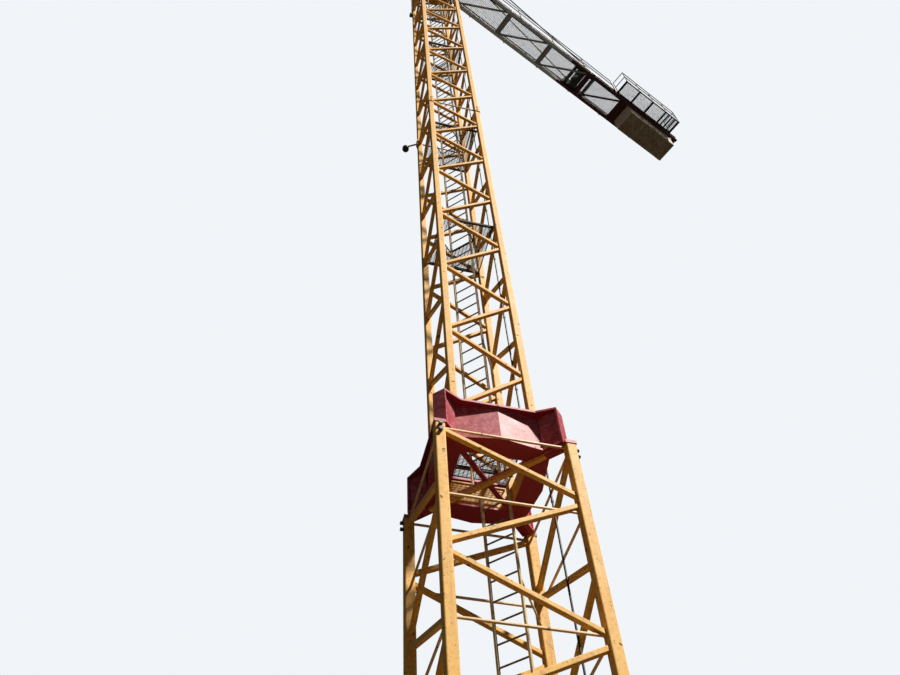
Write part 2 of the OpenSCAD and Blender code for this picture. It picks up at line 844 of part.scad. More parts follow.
// The cab's window openings, each given by its two corners.
function cab_windows() = let(
        x0 = cab_start, x1 = cab_start + cab_l,
        y0 = -cab_side - cab_w, y1 = -cab_side,
        z0 = cab_floor, z1 = cab_floor + cab_h,
        m = cab_frame) [
    [[x0, y0 + m, z0 + m], [x0 + cab_t, y1 - m, z1 - m]],
    [[x0 + m, y1 - cab_t, z0 + cab_h * 0.35], [x1 - 3 * m, y1, z1 - m]],
    [[x0 + m, y0, z0 + cab_h * 0.35], [x1 - 3 * m, y0 + cab_t, z1 - m]]
];

module cab_shell() {
    color([0.90, 0.90, 0.88]) turned() difference() {
        block([cab_start, -cab_side - cab_w, cab_floor], [cab_start + cab_l, -cab_side, cab_floor + cab_h]);
        block([cab_start + cab_t, cab_t - cab_side - cab_w, cab_floor + cab_t],
              [cab_start + cab_l - cab_t, -cab_side - cab_t, cab_floor + cab_h - cab_t]);
        for (w = cab_windows()) {
            low = w[0];
            high = w[1];
            thin_x = high[0] - low[0] < high[1] - low[1];
            grow = thin_x ? [1, 0, 0] : [0, 1, 0];
            block(low - grow, high + grow);
        }
    }
}

module cab_glass() {
    color([0.35, 0.45, 0.50]) turned() for (w = cab_windows()) {
        low = w[0];
        high = w[1];
        thin_x = high[0] - low[0] < high[1] - low[1];
        inset = (thin_x ? [1, 0, 0] : [0, 1, 0]) * (cab_t - glass_t) / 2;
        block(low + inset, high - inset);
    }
}

// Place of jib bay k along the jib, measured toward the counter-jib.
function jib_s(k) = -head_face - k * (jib_l - head_face) / jib_bays;

module lower_jib_chords() {
    for (s = [-1, 1])
        block([-jib_l, s * jib_w / 2 - jib_chord / 2, girder_low],
              [-head_face, s * jib_w / 2 + jib_chord / 2, girder_low + jib_chord]);
}

module top_jib_chord() {
    block([jib_s(jib_bays - 0.5) - jib_chord, -jib_chord / 2, jib_low + jib_h - jib_chord / 2],
          [jib_s(0.5) + jib_chord, jib_chord / 2, jib_low + jib_h + jib_chord / 2]);
}

module jib_chords() {
    color(steel_yellow) turned() {
        lower_jib_chords();
        top_jib_chord();
    }
}

// The zigzag of one sloping side of the jib, cut flush to the chords.
module jib_side(side) {
    aim = jib_chord * 0.28;
    difference() {
        for (k = [0:jib_bays - 1], h = [0, 1])
            bar([jib_s(k + h), side * jib_w / 2, jib_low],
                [jib_s(k + 0.5), side * aim, jib_low + jib_h], jib_bar);
        lower_jib_chords();
        top_jib_chord();
        block([-head_face, -jib_w, girder_low - jib_w], [0, jib_w, girder_low + 2 * jib_w]);
        block([-jib_l - jib_w, -jib_w, girder_low - jib_w], [-jib_l, jib_w, girder_low + 2 * jib_w]);
    }
}

module jib_brace_left() { color(steel_yellow) turned() jib_side(1); }
module jib_brace_right() { color(steel_yellow) turned() jib_side(-1); }

module jib_brace_floor() {
    half = jib_w / 2;
    in = half - jib_chord / 2;
    bay = (jib_l - head_face) / jib_bays;
    lean = bay / (2 * half);
    slant = jib_bar / 2 * sqrt(1 + pow(lean, 2));
    color(steel_yellow) turned() translate([0, 0, jib_low - jib_bar / 2]) {
        for (k = [0:jib_bays - 1]) {
            side = k % 2 == 0 ? 1 : -1;
            mid = jib_s(k + 0.5);
            reach = in * lean;
            linear_extrude(jib_bar) polygon([
                [mid + reach - slant, side * in], [mid + reach + slant, side * in],
                [mid - reach + slant, -side * in], [mid - reach - slant, -side * in]
            ]);
        }
        for (s = [-head_face - jib_bar, -jib_l])
            translate([s, -in, 0]) cube([jib_bar, 2 * in, jib_bar]);
    }
}

module jib_tie_bars() {
    top = jib_low + jib_h + jib_chord / 2;
    color(steel_yellow) turned() difference() {
        for (t = [[inner_tie_bay, 1], [outer_tie_bay, -1]])
            rod([0, t[1] * cap_cheek_y, tie_z0], [jib_s(t[0] + 0.5), 0, top - tie_bar_d / 2], tie_bar_d);
        block([-cap_half, -jib_w, head_top - jib_w], [cap_half, jib_w, head_top + jib_w]);
        block([-jib_l, -jib_w, jib_low], [0, jib_w, top]);
    }
}

// The section of an I girder that stands on the X axis.
module girder_section() {
    translate([-girder_flange / 2, 0]) square([girder_flange, girder_t]);
    translate([-girder_flange / 2, girder_h - girder_t]) square([girder_flange, girder_t]);
    translate([-girder_t / 2, 0]) square([girder_t, girder_h]);
}

// Both girders from place s0 to place s1 along the counter-jib.
module girders(s0, s1) {
    for (side = [-1, 1])
        translate([s0, side * girder_gap / 2, girder_low])
            rotate([90, 0, 90]) linear_extrude(s1 - s0) girder_section();
}

module counter_girders() {
    color(galvanised) turned() girders(head_face, girder_joint);
}

module end_girders() {
    color(dark_red) turned() girders(girder_joint, girder_end);
}

// Half of the clear width between the girders' webs.
function cross_reach() = girder_gap / 2 - girder_t / 2;

// The underside of the cross beams.
function cross_z() = girder_low + girder_t + floor_drop;

// One cross beam from s0 to s1, with a shallow groove along its underside.
module cross_beam(s0, s1) {
    difference() {
        block([s0, -cross_reach(), cross_z()], [s1, cross_reach(), cross_z() + cross_h]);
        block([s0 + girder_t, -cross_reach() - 1, cross_z() - 1],
              [s0 + 2 * girder_t, cross_reach() + 1, cross_z() + girder_t]);
    }
}

// The cross beams from number k0 to number k1, each with the diagonal behind it.
module cross_frame(k0, k1) {
    intersection() {
        union()
            for (k = [k0:k1]) {
                s = cross_start + k * cross_pitch;
                cross_beam(s - cross_w / 2, s + cross_w / 2);
                if (k < cross_count - 1)
                    bar([s, cross_reach(), cross_z() + cross_h / 2],
                        [s + cross_pitch, -cross_reach(), cross_z() + cross_h / 2], cross_bar);
            }
        block([0, -cross_reach(), girder_low],
              [cross_start + (k1 + 1) * cross_pitch - cross_w / 2, cross_reach(), girder_top]);
    }
}

module counter_cross_beams() {
    color(galvanised) turned() cross_frame(0, cross_fixed - 1);
}

module end_cross_beams() {
    wide = weight_start - weight_gap - cross_wide;
    color(dark_red) turned() {
        difference() {
            cross_frame(cross_fixed, cross_count - 2);
            block([wide, -girder_gap, girder_low], [girder_end, girder_gap, girder_top]);
        }
        cross_beam(wide, weight_start - weight_gap);
        cross_beam(girder_end - cross_w, girder_end);
    }
}

module counter_walkway() {
    half = girder_gap / 2 - girder_flange / 2 - walk_gap;
    z = cross_z() + cross_h;
    s0 = head_face;
    s1 = weight_start - weight_gap;
    color(galvanised) turned() {
        block([s0, walk_edge - half, z], [s1, half - walk_edge, z + grating_t]);
        for (y = [-half, half - walk_edge])
            block([s0, y, z], [s1, y + walk_edge, z + walk_edge_h]);
    }
}

// A railing from s0 to s1 at distance y, with posts, a top rail and a knee rail.
module railing(s0, s1, y, z, posts_n, foot = 0) {
    for (k = [0:posts_n - 1]) {
        s = s0 + rail_d / 2 + k * (s1 - s0 - rail_d) / (posts_n - 1);
        block([s - rail_d / 2, y - rail_d / 2, z - foot], [s + rail_d / 2, y + rail_d / 2, z + rail_h]);
    }
    for (h = [0.5, 1])
        block([s0, y - rail_d / 2, z + h * rail_h - rail_d], [s1, y + rail_d / 2, z + h * rail_h]);
}

module counter_handrails() {
    color(galvanised) turned() for (side = [-1, 1]) {
        s0 = head_face + rail_d;
        s1 = side == 1 ? girder_end - 2 * rail_d : service_start - 2 * rail_d;
        railing(s0, s1, side * rail_y, girder_top, 1 + round((s1 - s0) / rail_pitch), girder_h);
    }
}

module counter_tie_bars() {
    color(steel_yellow) turned() difference() {
        for (side = [-1, 1])
            rod([0, side * cap_cheek_y, tie_z0],
                [counter_tie_s, side * girder_gap / 2, girder_top - tie_bar_d / 2], tie_bar_d);
        block([-cap_half, -jib_w, head_top - jib_w], [cap_half, jib_w, head_top + jib_w]);
        block([0, -jib_w, girder_low], [girder_end, jib_w, girder_top]);
    }
}

module counterweight() {
    color(concrete) turned() for (k = [0:weight_slabs - 1]) {
        s = weight_start + k * (slab_t + slab_gap);
        block([s, -slab_w / 2, girder_low - slab_drop], [s + slab_t, slab_w / 2, girder_top + slab_head]);
        for (side = [-1, 1])
            block([s, side == 1 ? slab_w / 2 : -flange_out, girder_top],
                  [s + slab_t, side == 1 ? flange_out : -slab_w / 2, girder_top + slab_head]);
    }
}

module service_platform() {
    y1 = -flange_out;
    y0 = y1 - service_w;
    z = girder_low + girder_t;
    bay = (service_l - service_bar) / service_bays;
    color(dark) turned() {
        difference() {
            block([service_start, y0, z], [service_start + service_l, y1, z + service_t + grating_t]);
            for (k = [0:service_bays - 1]) {
                a = service_start + service_bar + k * bay;
                block([a, y0 + service_bar, z - 1], [a + bay - service_bar, y1 - service_bar, z + service_t]);
            }
        }
        for (k = [1:3]) {
            a = service_start + service_l - service_bar / 2 - k * bay / 4;
            block([a - rail_d / 2, y0 + service_bar, z], [a + rail_d / 2, y1 - service_bar, z + service_t]);
        }
    }
}

module service_railing() {
    y0 = -flange_out - service_w + rail_d / 2;
    y1 = -flange_out - 2 * rail_d;
    z = girder_low + girder_t + service_t + grating_t;
    color(galvanised) turned() {
        railing(service_start, service_start + service_l, y0, z, service_bays + 1);
        for (s = [service_start + rail_d / 2, service_start + service_l - rail_d / 2]) {
            for (h = [0.5, 1])
                block([s - rail_d / 2, y0, z + h * rail_h - rail_d],
                      [s + rail_d / 2, y1 + rail_d, z + h * rail_h]);
            block([s - rail_d / 2, y1, z], [s + rail_d / 2, y1 + rail_d, z + rail_h]);
        }
    }
}

module hoist_winch() {
    axle_z = girder_top + winch_base_h + drum_d / 2 + 30;
    span = girder_gap + girder_flange;
    color([0.30, 0.36, 0.30]) turned() {
        difference() {
            block([winch_s - drum_d, -span / 2, girder_top],
                  [winch_s + drum_d, span / 2, girder_top + winch_base_h]);
            block([winch_s - drum_d + winch_base_h, -drum_l / 2, girder_top - 1],
                  [winch_s + drum_d - winch_base_h, drum_l / 2, girder_top + winch_base_h + 1]);
        }
        translate([winch_s, drum_l / 2, axle_z]) rotate([90, 0, 0])
            cylinder(h = drum_l, d = drum_d * 0.7, $fn = 48);
        for (side = [-1, 1])
            translate([winch_s, side * (drum_l / 2 - 6) + 6, axle_z]) rotate([90, 0, 0])
                cylinder(h = 12, d = drum_d, $fn = 48);
        for (side = [-1, 1]) {
            a = side * (drum_l / 2 + 12);
            block([winch_s - 60, a - 12, girder_top + winch_base_h], [winch_s + 60, a + 12, axle_z + 60]);
        }
        block([winch_s + 20 - drum_d, drum_l / 2 - 30, girder_top + winch_base_h],
              [winch_s - 80, drum_l / 2 + 90, girder_top + winch_base_h + 130]);
    }
}

module trolley() {
    y = jib_w / 2;
    color(galvanised) turned() {
        for (side = [-1, 1])
            block([-trolley_s - trolley_l / 2, side * y - jib_chord / 2, girder_low - trolley_h],
                  [-trolley_s + trolley_l / 2, side * y + jib_chord / 2, girder_low]);
        for (s = [-1, 1])
            block([-trolley_s + s * (trolley_l / 2 - 30) - 30, -y + jib_chord / 2, girder_low - trolley_h],
                  [-trolley_s + s * (trolley_l / 2 - 30) + 30, y - jib_chord / 2, girder_low - trolley_h / 2]);
        for (s = [-1, 1])
            translate([-trolley_s + s * fall_gap / 2, 25, girder_low - trolley_h / 2 - 10]) rotate([90, 0, 0])
                cylinder(h = 50, d = sheave_d, $fn = 48);
        block([-trolley_s - trolley_l / 2 + 60, -12, girder_low - trolley_h / 2 - 30],
              [-trolley_s + trolley_l / 2 - 60, 12, girder_low - trolley_h / 2 + 10]);
    }
}

module hook_block() {
    z = girder_low - hook_drop;
    color([0.75, 0.55, 0.20]) turned() translate([-trolley_s, 0, z]) {
        rotate([90, 0, 0]) translate([0, 0, -30]) linear_extrude(60)
            polygon([[-fall_gap / 2 - 50, 60], [fall_gap / 2 + 50, 60], [fall_gap / 2 + 50, 0],
                     [60, -150], [-60, -150], [-fall_gap / 2 - 50, 0]]);
        translate([0, 0, -210]) cylinder(h = 60, d = 44, $fn = 32);
        translate([0, 0, -260]) rotate([90, 0, 0]) rotate([0, 0, -200]) rotate_extrude(angle = 290, $fn = 48)
            translate([60, 0]) circle(d = 36, $fn = 24);
    }
}

module hoist_rope() {
    z0 = girder_low - hook_drop + 60;
    color(dark) turned() {
        for (s = [-1, 1])
            translate([-trolley_s + s * (fall_gap / 2), 0, z0])
                cylinder(h = girder_low - trolley_h / 2 - 10 - sheave_d / 2 - z0, d = rope_d, $fn = 12);
    }
}

base_frame();
lower_posts();
lower_brace_front();
lower_brace_right();
lower_brace_back();
lower_brace_left();
lower_ladder();
post_pins();
plan_brace();
transition_frame();
transition_deck();
mast_foot_plates();
upper_posts();
upper_brace_front();
upper_brace_right();
upper_brace_back();
upper_brace_left();
section_sleeves();
upper_ladder();
rest_platforms();
camera_arm();
camera_dome();
power_cable();
junction_box();
signal_cable();
slewing_support();
slewing_ring_fixed();
slewing_ring_turning();
turntable();
slewing_motors();
tower_head();
head_cap();
cab_shell();
cab_glass();
jib_chords();
jib_brace_left();
jib_brace_right();
jib_brace_floor();
jib_tie_bars();
counter_girders();
end_girders();
counter_cross_beams();
end_cross_beams();
counter_walkway();
counter_handrails();
counter_tie_bars();
counterweight();
service_platform();
service_railing();
hoist_winch();
trolley();
hook_block();
hoist_rope();
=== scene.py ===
import math
import bpy
import numpy as np
from mathutils import Matrix, Vector


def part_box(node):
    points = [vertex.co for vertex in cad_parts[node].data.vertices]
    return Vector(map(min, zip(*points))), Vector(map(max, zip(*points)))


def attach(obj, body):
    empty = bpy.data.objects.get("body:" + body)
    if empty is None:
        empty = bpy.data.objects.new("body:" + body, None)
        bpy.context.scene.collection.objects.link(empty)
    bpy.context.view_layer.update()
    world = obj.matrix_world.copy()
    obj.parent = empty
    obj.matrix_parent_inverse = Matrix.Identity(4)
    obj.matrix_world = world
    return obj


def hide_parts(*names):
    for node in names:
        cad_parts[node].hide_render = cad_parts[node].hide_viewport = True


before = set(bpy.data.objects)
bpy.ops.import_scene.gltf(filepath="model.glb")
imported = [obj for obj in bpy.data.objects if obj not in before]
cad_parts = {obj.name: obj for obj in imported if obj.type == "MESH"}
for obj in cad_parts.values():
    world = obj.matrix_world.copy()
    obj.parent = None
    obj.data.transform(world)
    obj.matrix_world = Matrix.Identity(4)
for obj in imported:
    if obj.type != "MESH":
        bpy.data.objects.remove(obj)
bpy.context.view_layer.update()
scene = bpy.context.scene
scene.view_settings.view_transform = "Standard"

# The camera stands near the foot of the mast at eye height and looks up.
# Its place and its three turns were solved from the lattice nodes in the photograph.
CAMERA_PLACE = Vector((-1.467, -4.036, 0.798))
CAMERA_YAW = 17.75
CAMERA_PITCH = 55.08
CAMERA_ROLL = -4.43
FOCAL_PIXELS = 927.5
PHOTO_WIDTH = 900
SENSOR_WIDTH = 36.0

yaw, pitch, roll = (math.radians(a) for a in (CAMERA_YAW, CAMERA_PITCH, CAMERA_ROLL))
ahead = Vector((math.sin(yaw) * math.cos(pitch), math.cos(yaw) * math.cos(pitch), math.sin(pitch)))
level = Vector((math.cos(yaw), -math.sin(yaw), 0))
upright = level.cross(ahead)
right = math.cos(roll) * level + math.sin(roll) * upright
top = -math.sin(roll) * level + math.cos(roll) * upright
camera = bpy.data.objects.new("camera", bpy.data.cameras.new("camera"))
scene.collection.objects.link(camera)
turned = Matrix((right, top, -ahead)).transposed().to_4x4()
camera.matrix_world = Matrix.Translation(CAMERA_PLACE) @ turned
camera.data.sensor_width = SENSOR_WIDTH
camera.data.lens = FOCAL_PIXELS / PHOTO_WIDTH * SENSOR_WIDTH
camera.data.clip_start = 0.05
camera.data.clip_end = 500
scene.camera = camera

# One wide lamp stands high on the mast's right front, and the world fills the shadows softly.
# The camera, also through glass, sees the world as a plain pale background.
LAMP_TURN = 40.0
LAMP_HEIGHT = 53.0
LAMP_STRENGTH = 6.3
LAMP_SPREAD = 3.0
LAMP_COLOUR = (1.0, 0.955, 0.88)
FILL_COLOUR = (1.0, 0.93, 0.86, 1)
FILL_STRENGTH = 0.078
BACKGROUND = (0.88, 0.91, 0.94, 1)

lamp = bpy.data.objects.new("lamp", bpy.data.lights.new("lamp", "SUN"))
scene.collection.objects.link(lamp)
lamp.data.energy = LAMP_STRENGTH
lamp.data.angle = math.radians(LAMP_SPREAD)
lamp.data.color = LAMP_COLOUR
turn, height = math.radians(LAMP_TURN), math.radians(LAMP_HEIGHT)
to_lamp = Vector((math.sin(turn) * math.cos(height), -math.cos(turn) * math.cos(height), math.sin(height)))
lamp.rotation_euler = to_lamp.to_track_quat("Z", "Y").to_euler()


def add_node(tree, kind, inputs=(), **settings):
    """Adds a shader node, sets its plain settings, and fills or links its inputs."""
    node = tree.nodes.new(kind)
    for key, value in settings.items():
        setattr(node, key, value)
    for key, value in dict(inputs).items():
        if isinstance(value, bpy.types.NodeSocket):
            tree.links.new(value, node.inputs[key])
        else:
            node.inputs[key].default_value = value
    return node


def calculate(tree, operation, *values):
    """The result of one operation on two or three values."""
    return add_node(tree, "ShaderNodeMath", dict(enumerate(values)), operation=operation).outputs[0]


world = bpy.data.worlds.new("studio")
scene.world = world
world.use_nodes = True
tree = world.node_tree
tree.nodes.clear()
rays = add_node(tree, "ShaderNodeLightPath").outputs
seen = calculate(tree, "MAXIMUM", rays["Is Camera Ray"], rays["Is Transmission Ray"])
fill = add_node(tree, "ShaderNodeBackground", {"Color": FILL_COLOUR, "Strength": FILL_STRENGTH})
shown = add_node(tree, "ShaderNodeBackground", {"Color": BACKGROUND, "Strength": 1.0})
both = add_node(tree, "ShaderNodeMixShader", {0: seen, 1: fill.outputs[0], 2: shown.outputs[0]})
add_node(tree, "ShaderNodeOutputWorld", {"Surface": both.outputs[0]})

# The floor is a plain pale sheet on the ground that keeps the crane's shadow.
# It looks pale to the camera and throws back less light than it shows.
FLOOR_HALF = 150.0
FLOOR_DROP = 0.002
FLOOR_SHOWN = (0.45, 0.455, 0.46, 1)
FLOOR_THROWN = (0.05, 0.05, 0.05, 1)


def new_finish(name):
    """A material with an empty tree of nodes."""
    finish = bpy.data.materials.new(name)
    finish.use_nodes = True
    finish.node_tree.nodes.clear()
    return finish, finish.node_tree


def mix_colours(tree, share, first, second):
    """The colour between two others, at a share of the second."""
    return add_node(tree, "ShaderNodeMix", {0: share, 6: first, 7: second}, data_type="RGBA").outputs[2]


floor_mesh = bpy.data.meshes.new("floor")
floor_mesh.from_pydata([(x * FLOOR_HALF, y * FLOOR_HALF, -FLOOR_DROP)
                        for x, y in ((-1, -1), (1, -1), (1, 1), (-1, 1))], [], [(0, 1, 2, 3)])
floor = bpy.data.objects.new("floor", floor_mesh)
scene.collection.objects.link(floor)
floor_finish, tree = new_finish("floor_pale")
seen = add_node(tree, "ShaderNodeLightPath").outputs["Is Camera Ray"]
matt = add_node(tree, "ShaderNodeBsdfDiffuse", {"Color": mix_colours(tree, seen, FLOOR_THROWN, FLOOR_SHOWN)})
add_node(tree, "ShaderNodeOutputMaterial", {"Surface": matt.outputs[0]})
floor_mesh.materials.append(floor_finish)


# The base frame is welded from square beams and bolted down through a shoe under each corner post.
# Its paint is the mast's: one group gives mottling, rain streaks, specks and chips to every painted piece.
def noise(tree, place, scale, detail, rough=0.5, stretch=(1, 1, 1)):
    """Cloudy noise over a place, which is stretched first."""
    place = add_node(tree, "ShaderNodeMapping", {"Vector": place, "Scale": stretch}).outputs[0]
    return add_node(tree, "ShaderNodeTexNoise", {"Vector": place, "Scale": scale, "Detail": detail,
                                                 "Roughness": rough}).outputs["Fac"]


def grade(tree, value, low, high, to_low=0.0, to_high=1.0):
    """A value's range from low to high, spread over another range and cut off at its ends."""
    return add_node(tree, "ShaderNodeMapRange", {"Value": value, "From Min": low, "From Max": high,
                                                 "To Min": to_low, "To Max": to_high}).outputs[0]


def build_paint_group():
    """Lays masks over the paint, one after the other.

    Wide and fine noise fade it, but not on undersides: the fading is partly real and partly painted light,
    and the unfaded undersides stay darker as painted shade. Soil, upright streaks, smudges and specks
    darken it, and sharp chips lay it bare.
    """
    group = bpy.data.node_groups.new("weathered_paint", "ShaderNodeTree")
    sockets = group.interface
    for name, start in (("Paint", (0.8, 0.4, 0.1, 1)), ("Faded", (0.9, 0.6, 0.3, 1)),
                        ("Dirt", (0.1, 0.06, 0.03, 1)), ("Bare", (0.05, 0.02, 0.01, 1))):
        sockets.new_socket(name, in_out="INPUT", socket_type="NodeSocketColor").default_value = start
    for name, start in (("Fade Amount", 0.5), ("Streak Amount", 0.3), ("Chip Amount", 0.5), ("Matt", 0.48)):
        sockets.new_socket(name, in_out="INPUT", socket_type="NodeSocketFloat").default_value = start
    sockets.new_socket("Colour", in_out="OUTPUT", socket_type="NodeSocketColor")
    sockets.new_socket("Roughness", in_out="OUTPUT", socket_type="NodeSocketFloat")
    sockets.new_socket("Height", in_out="OUTPUT", socket_type="NodeSocketFloat")
    given = group.nodes.new("NodeGroupInput").outputs
    texture = add_node(group, "ShaderNodeTexCoord").outputs
    where = texture["Object"]
    facing = add_node(group, "ShaderNodeSeparateXYZ", {0: texture["Normal"]}).outputs["Z"]

    def mask(value, low, high, amount):
        """How far a value has come from low to high, times an amount."""
        return calculate(group, "MULTIPLY", grade(group, value, low, high), amount)

    # Fading on all faces but undersides: partly real fading, partly painted light; undersides stay darker as
    # painted shade.
    fade_and_painted_light = mask(facing, -0.8, -0.2, given["Fade Amount"])
    rain, wear = given["Streak Amount"], given["Chip Amount"]
    fine = noise(group, where, 30, 6, 0.8)
    chip = mask(noise(group, where, 15, 8, 0.64), 0.640, 0.655, wear)
    colour = given["Paint"]
    for layer, amount in (("Faded", mask(noise(group, where, 1.6, 5, 0.6), 0.34, 0.62, fade_and_painted_light)),
                          ("Faded", mask(fine, 0.48, 0.60, fade_and_painted_light)),
                          ("Dirt", mask(fine, 0.49, 0.36, rain)),
                          ("Dirt", mask(noise(group, where, 1.0, 5, 0.65, (26, 26, 1.4)), 0.50, 0.74, rain)),
                          ("Dirt", mask(noise(group, where, 9.0, 6, 0.7), 0.55, 0.76, rain)),
                          ("Dirt", mask(noise(group, where, 64, 2), 0.655, 0.70, wear)),
                          ("Bare", chip)):
        colour = mix_colours(group, amount, colour, given[layer])
    uneven = grade(group, noise(group, where, 6.0, 4, 0.6), 0, 1, -0.10, 0.10)
    rough = calculate(group, "ADD", calculate(group, "MULTIPLY_ADD", chip, 0.3, uneven), given["Matt"])
    grain = calculate(group, "MULTIPLY", noise(group, where, 160, 2), 0.25)
    add_node(group, "NodeGroupOutput", {"Colour": colour, "Roughness": rough,
                                        "Height": calculate(group, "SUBTRACT", grain, chip)})
    return group


paint_group = build_paint_group()


def end_finish(tree, inputs):
    """Ends a material's tree with the Principled shader and the output."""
    shader = add_node(tree, "ShaderNodeBsdfPrincipled", inputs)
    add_node(tree, "ShaderNodeOutputMaterial", {"Surface": shader.outputs[0]})


def painted(name, paint, faded, dirt, bare, fade=0.5, streak=0.3, chips=0.5, matt=0.48, shine=0.5):
    """A painted finish with its own colours, made with the weathered paint group."""
    finish, tree = new_finish(name)
    wear = tree.nodes.new("ShaderNodeGroup")
    wear.node_tree = paint_group
    for key, value in (("Paint", (*paint, 1)), ("Faded", (*faded, 1)), ("Dirt", (*dirt, 1)),
                       ("Bare", (*bare, 1)), ("Fade Amount", fade), ("Streak Amount", streak),
                       ("Chip Amount", chips), ("Matt", matt)):
        wear.inputs[key].default_value = value
    relief = add_node(tree, "ShaderNodeBump", {"Height": wear.outputs["Height"], "Distance": 0.0006,
                                               "Strength": 0.7})
    end_finish(tree, {"Base Color": wear.outputs["Colour"], "Roughness": wear.outputs["Roughness"],
                      "Specular IOR Level": shine, "Normal": relief.outputs[0]})
    return finish


yellow_paint = painted("mast_paint", (0.80, 0.41, 0.055), (0.85, 0.53, 0.15), (0.22, 0.10, 0.03),
                       (0.05, 0.022, 0.012), streak=0.34, chips=0.85, matt=0.55, shine=0.25)


def dress(finish, slot, *nodes):
    """Gives CAD nodes, whose shapes stay, their finish."""
    for node in nodes:
        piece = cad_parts[node]
        piece.data.materials.clear()
        piece.data.materials.append(finish)


dress(yellow_paint, "mast_paint", "base_frame")

# The four corner posts of the lower mast are square tubes with rounded edges.
# They are welded to the base frame, and their tops are pinned under the transition frame.
LOWER_POST = 0.068
POST_EDGE = 0.009
POST_WELD = 0.005
SHARP_EDGE = 40
CORNERS = np.array([(-1, -1, 0), (1, -1, 0), (1, 1, 0), (-1, 1, 0)])
UP = np.array([0, 0, 1.0])
QUADRANTS = np.array([(1, 1), (-1, 1), (-1, -1), (1, -1)])


def grid_mesh(name, points, body, finish, caps=True, smooth=False):
    """A mesh from an array of shape (items, rings, points, 3), in which each item is a tube.

    Quads join each ring to the next all the way round, and one face caps each end.
    """
    points = np.asarray(points, float)
    items, rings, count, _ = points.shape
    index = np.arange(items * rings * count).reshape(items, rings, count)
    after = np.roll(index, -1, axis=2)
    corners = (index[:, :-1], after[:, :-1], after[:, 1:], index[:, 1:])
    faces = np.stack(corners, axis=-1).reshape(-1, 4).tolist()
    if caps:
        faces += index[:, 0, ::-1].tolist() + index[:, -1].tolist()
    mesh = bpy.data.meshes.new(name)
    mesh.from_pydata(points.reshape(-1, 3).tolist(), [], faces)
    mesh.materials.append(finish)
    if smooth:
        mesh.polygons.foreach_set("use_smooth", np.ones(len(mesh.polygons), bool))
        mesh.set_sharp_from_angle(angle=math.radians(SHARP_EDGE))
    piece = bpy.data.objects.new(name, mesh)
    scene.collection.objects.link(piece)
    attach(piece, body)
    return piece


def settle(piece, slot, *nodes):
    """Lets a piece stand in for the CAD nodes that it names, by hiding them; its slot is not used."""
    if nodes:
        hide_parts(*nodes)
    return piece


def join_pieces(name, slot, pieces, *nodes):
    """Joins mesh pieces into one, which takes the name and stands in for the CAD nodes; its slot is not
    used.
    """
    with bpy.context.temp_override(active_object=pieces[0], selected_editable_objects=pieces):
        bpy.ops.object.join()
    pieces[0].name = name
    settle(pieces[0], slot, *nodes)


def rounded_section(width, depth, radius, steps=3):
    """Points round a rectangle whose corners are quarter circles, each cut into equal steps."""
    turn = (np.arange(4)[:, None] * 90 + np.linspace(0, 90, steps + 1)[None, :]) * np.pi / 180
    corner = QUADRANTS * (width / 2 - radius, depth / 2 - radius)
    return (corner[:, None, :] + radius * np.stack([np.cos(turn), np.sin(turn)], axis=-1)).reshape(-1, 2)


def bars(starts, ends, section):
    """Straight bars: the section, its first axis kept level, is carried from each start to each end."""
    a, b = np.broadcast_arrays(np.atleast_2d(starts), np.atleast_2d(ends))
    along = (b - a) / np.linalg.norm(b - a, axis=-1, keepdims=True)
    side = np.cross(along, (0, 0, 1))
    length = np.linalg.norm(side, axis=-1, keepdims=True)
    side = np.where(length < 1e-6, (1, 0, 0), side / np.maximum(length, 1e-6))
    other = np.cross(along, side)
    ring = section[:, 0, None] * side[:, None] + section[:, 1, None] * other[:, None]
    return np.stack([a[:, None] + ring, b[:, None] + ring], axis=1)


def weld_rings(tubes, radius, sides=5):
    """A weld bead along the outline of both ends of each tube: a small circle carried round that outline.

    The far end's outline runs the other way round, so that every bead faces outwards.
    """
    ends = np.concatenate([tubes[:, 0], tubes[:, -1, ::-1]])
    away = np.concatenate([tubes[:, 1] - tubes[:, 0], (tubes[:, -2] - tubes[:, -1])[:, ::-1]])
    away /= np.linalg.norm(away, axis=-1, keepdims=True)
    outward = ends - ends.mean(axis=1, keepdims=True)
    outward -= (outward * away).sum(-1, keepdims=True) * away
    outward /= np.linalg.norm(outward, axis=-1, keepdims=True)
    angle = np.linspace(0, 2 * np.pi, sides, endpoint=False)[None, None, :, None]
    circle = np.cos(angle) * away[:, :, None] + np.sin(angle) * outward[:, :, None]
    beads = ends[:, :, None] + radius * circle
    return np.concatenate([beads, beads[:, :1]], axis=1)


def bead_mesh(beads, finish):
    """Weld beads as a smooth mesh; each is a closed ring and needs no caps."""
    return grid_mesh("welds", beads, "tower", finish, caps=False, smooth=True)


post_low, post_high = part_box("lower_posts")
LOWER_HALF = post_high.x - LOWER_POST / 2
LOWER_TOP = post_high.z
tubes = bars(CORNERS * LOWER_HALF + UP * post_low.z, CORNERS * LOWER_HALF + UP * LOWER_TOP,
             rounded_section(LOWER_POST, LOWER_POST, POST_EDGE))
join_pieces("lower_post_tubes", "mast_paint", [
    grid_mesh("tubes", tubes, "tower", yellow_paint),
    bead_mesh(weld_rings(tubes, POST_WELD)[:4], yellow_paint)], "lower_posts")
pin_steel = painted("dark_steel", (0.022, 0.022, 0.024), (0.05, 0.048, 0.045), (0.10, 0.07, 0.05),
                    (0.08, 0.04, 0.02))
dress(pin_steel, "dark_steel", "post_pins")

# Each side of the lower mast has one zigzag of square tubes, welded between the posts.
# Thin rods tie the posts at several levels.
SIDES = ("front", "right", "back", "left")
LOWER_PITCH = 0.991
LOWER_BAYS = 5
LOWER_BAR = 0.034
LOWER_NODE = 0.092
LOWER_WELD = 0.0035
BAR_EDGE = 0.005
TIE = 0.015
LOWER_TIES = LOWER_TOP - np.array([0.020, 0.589, 1.453, 2.317, 3.181, 4.045])


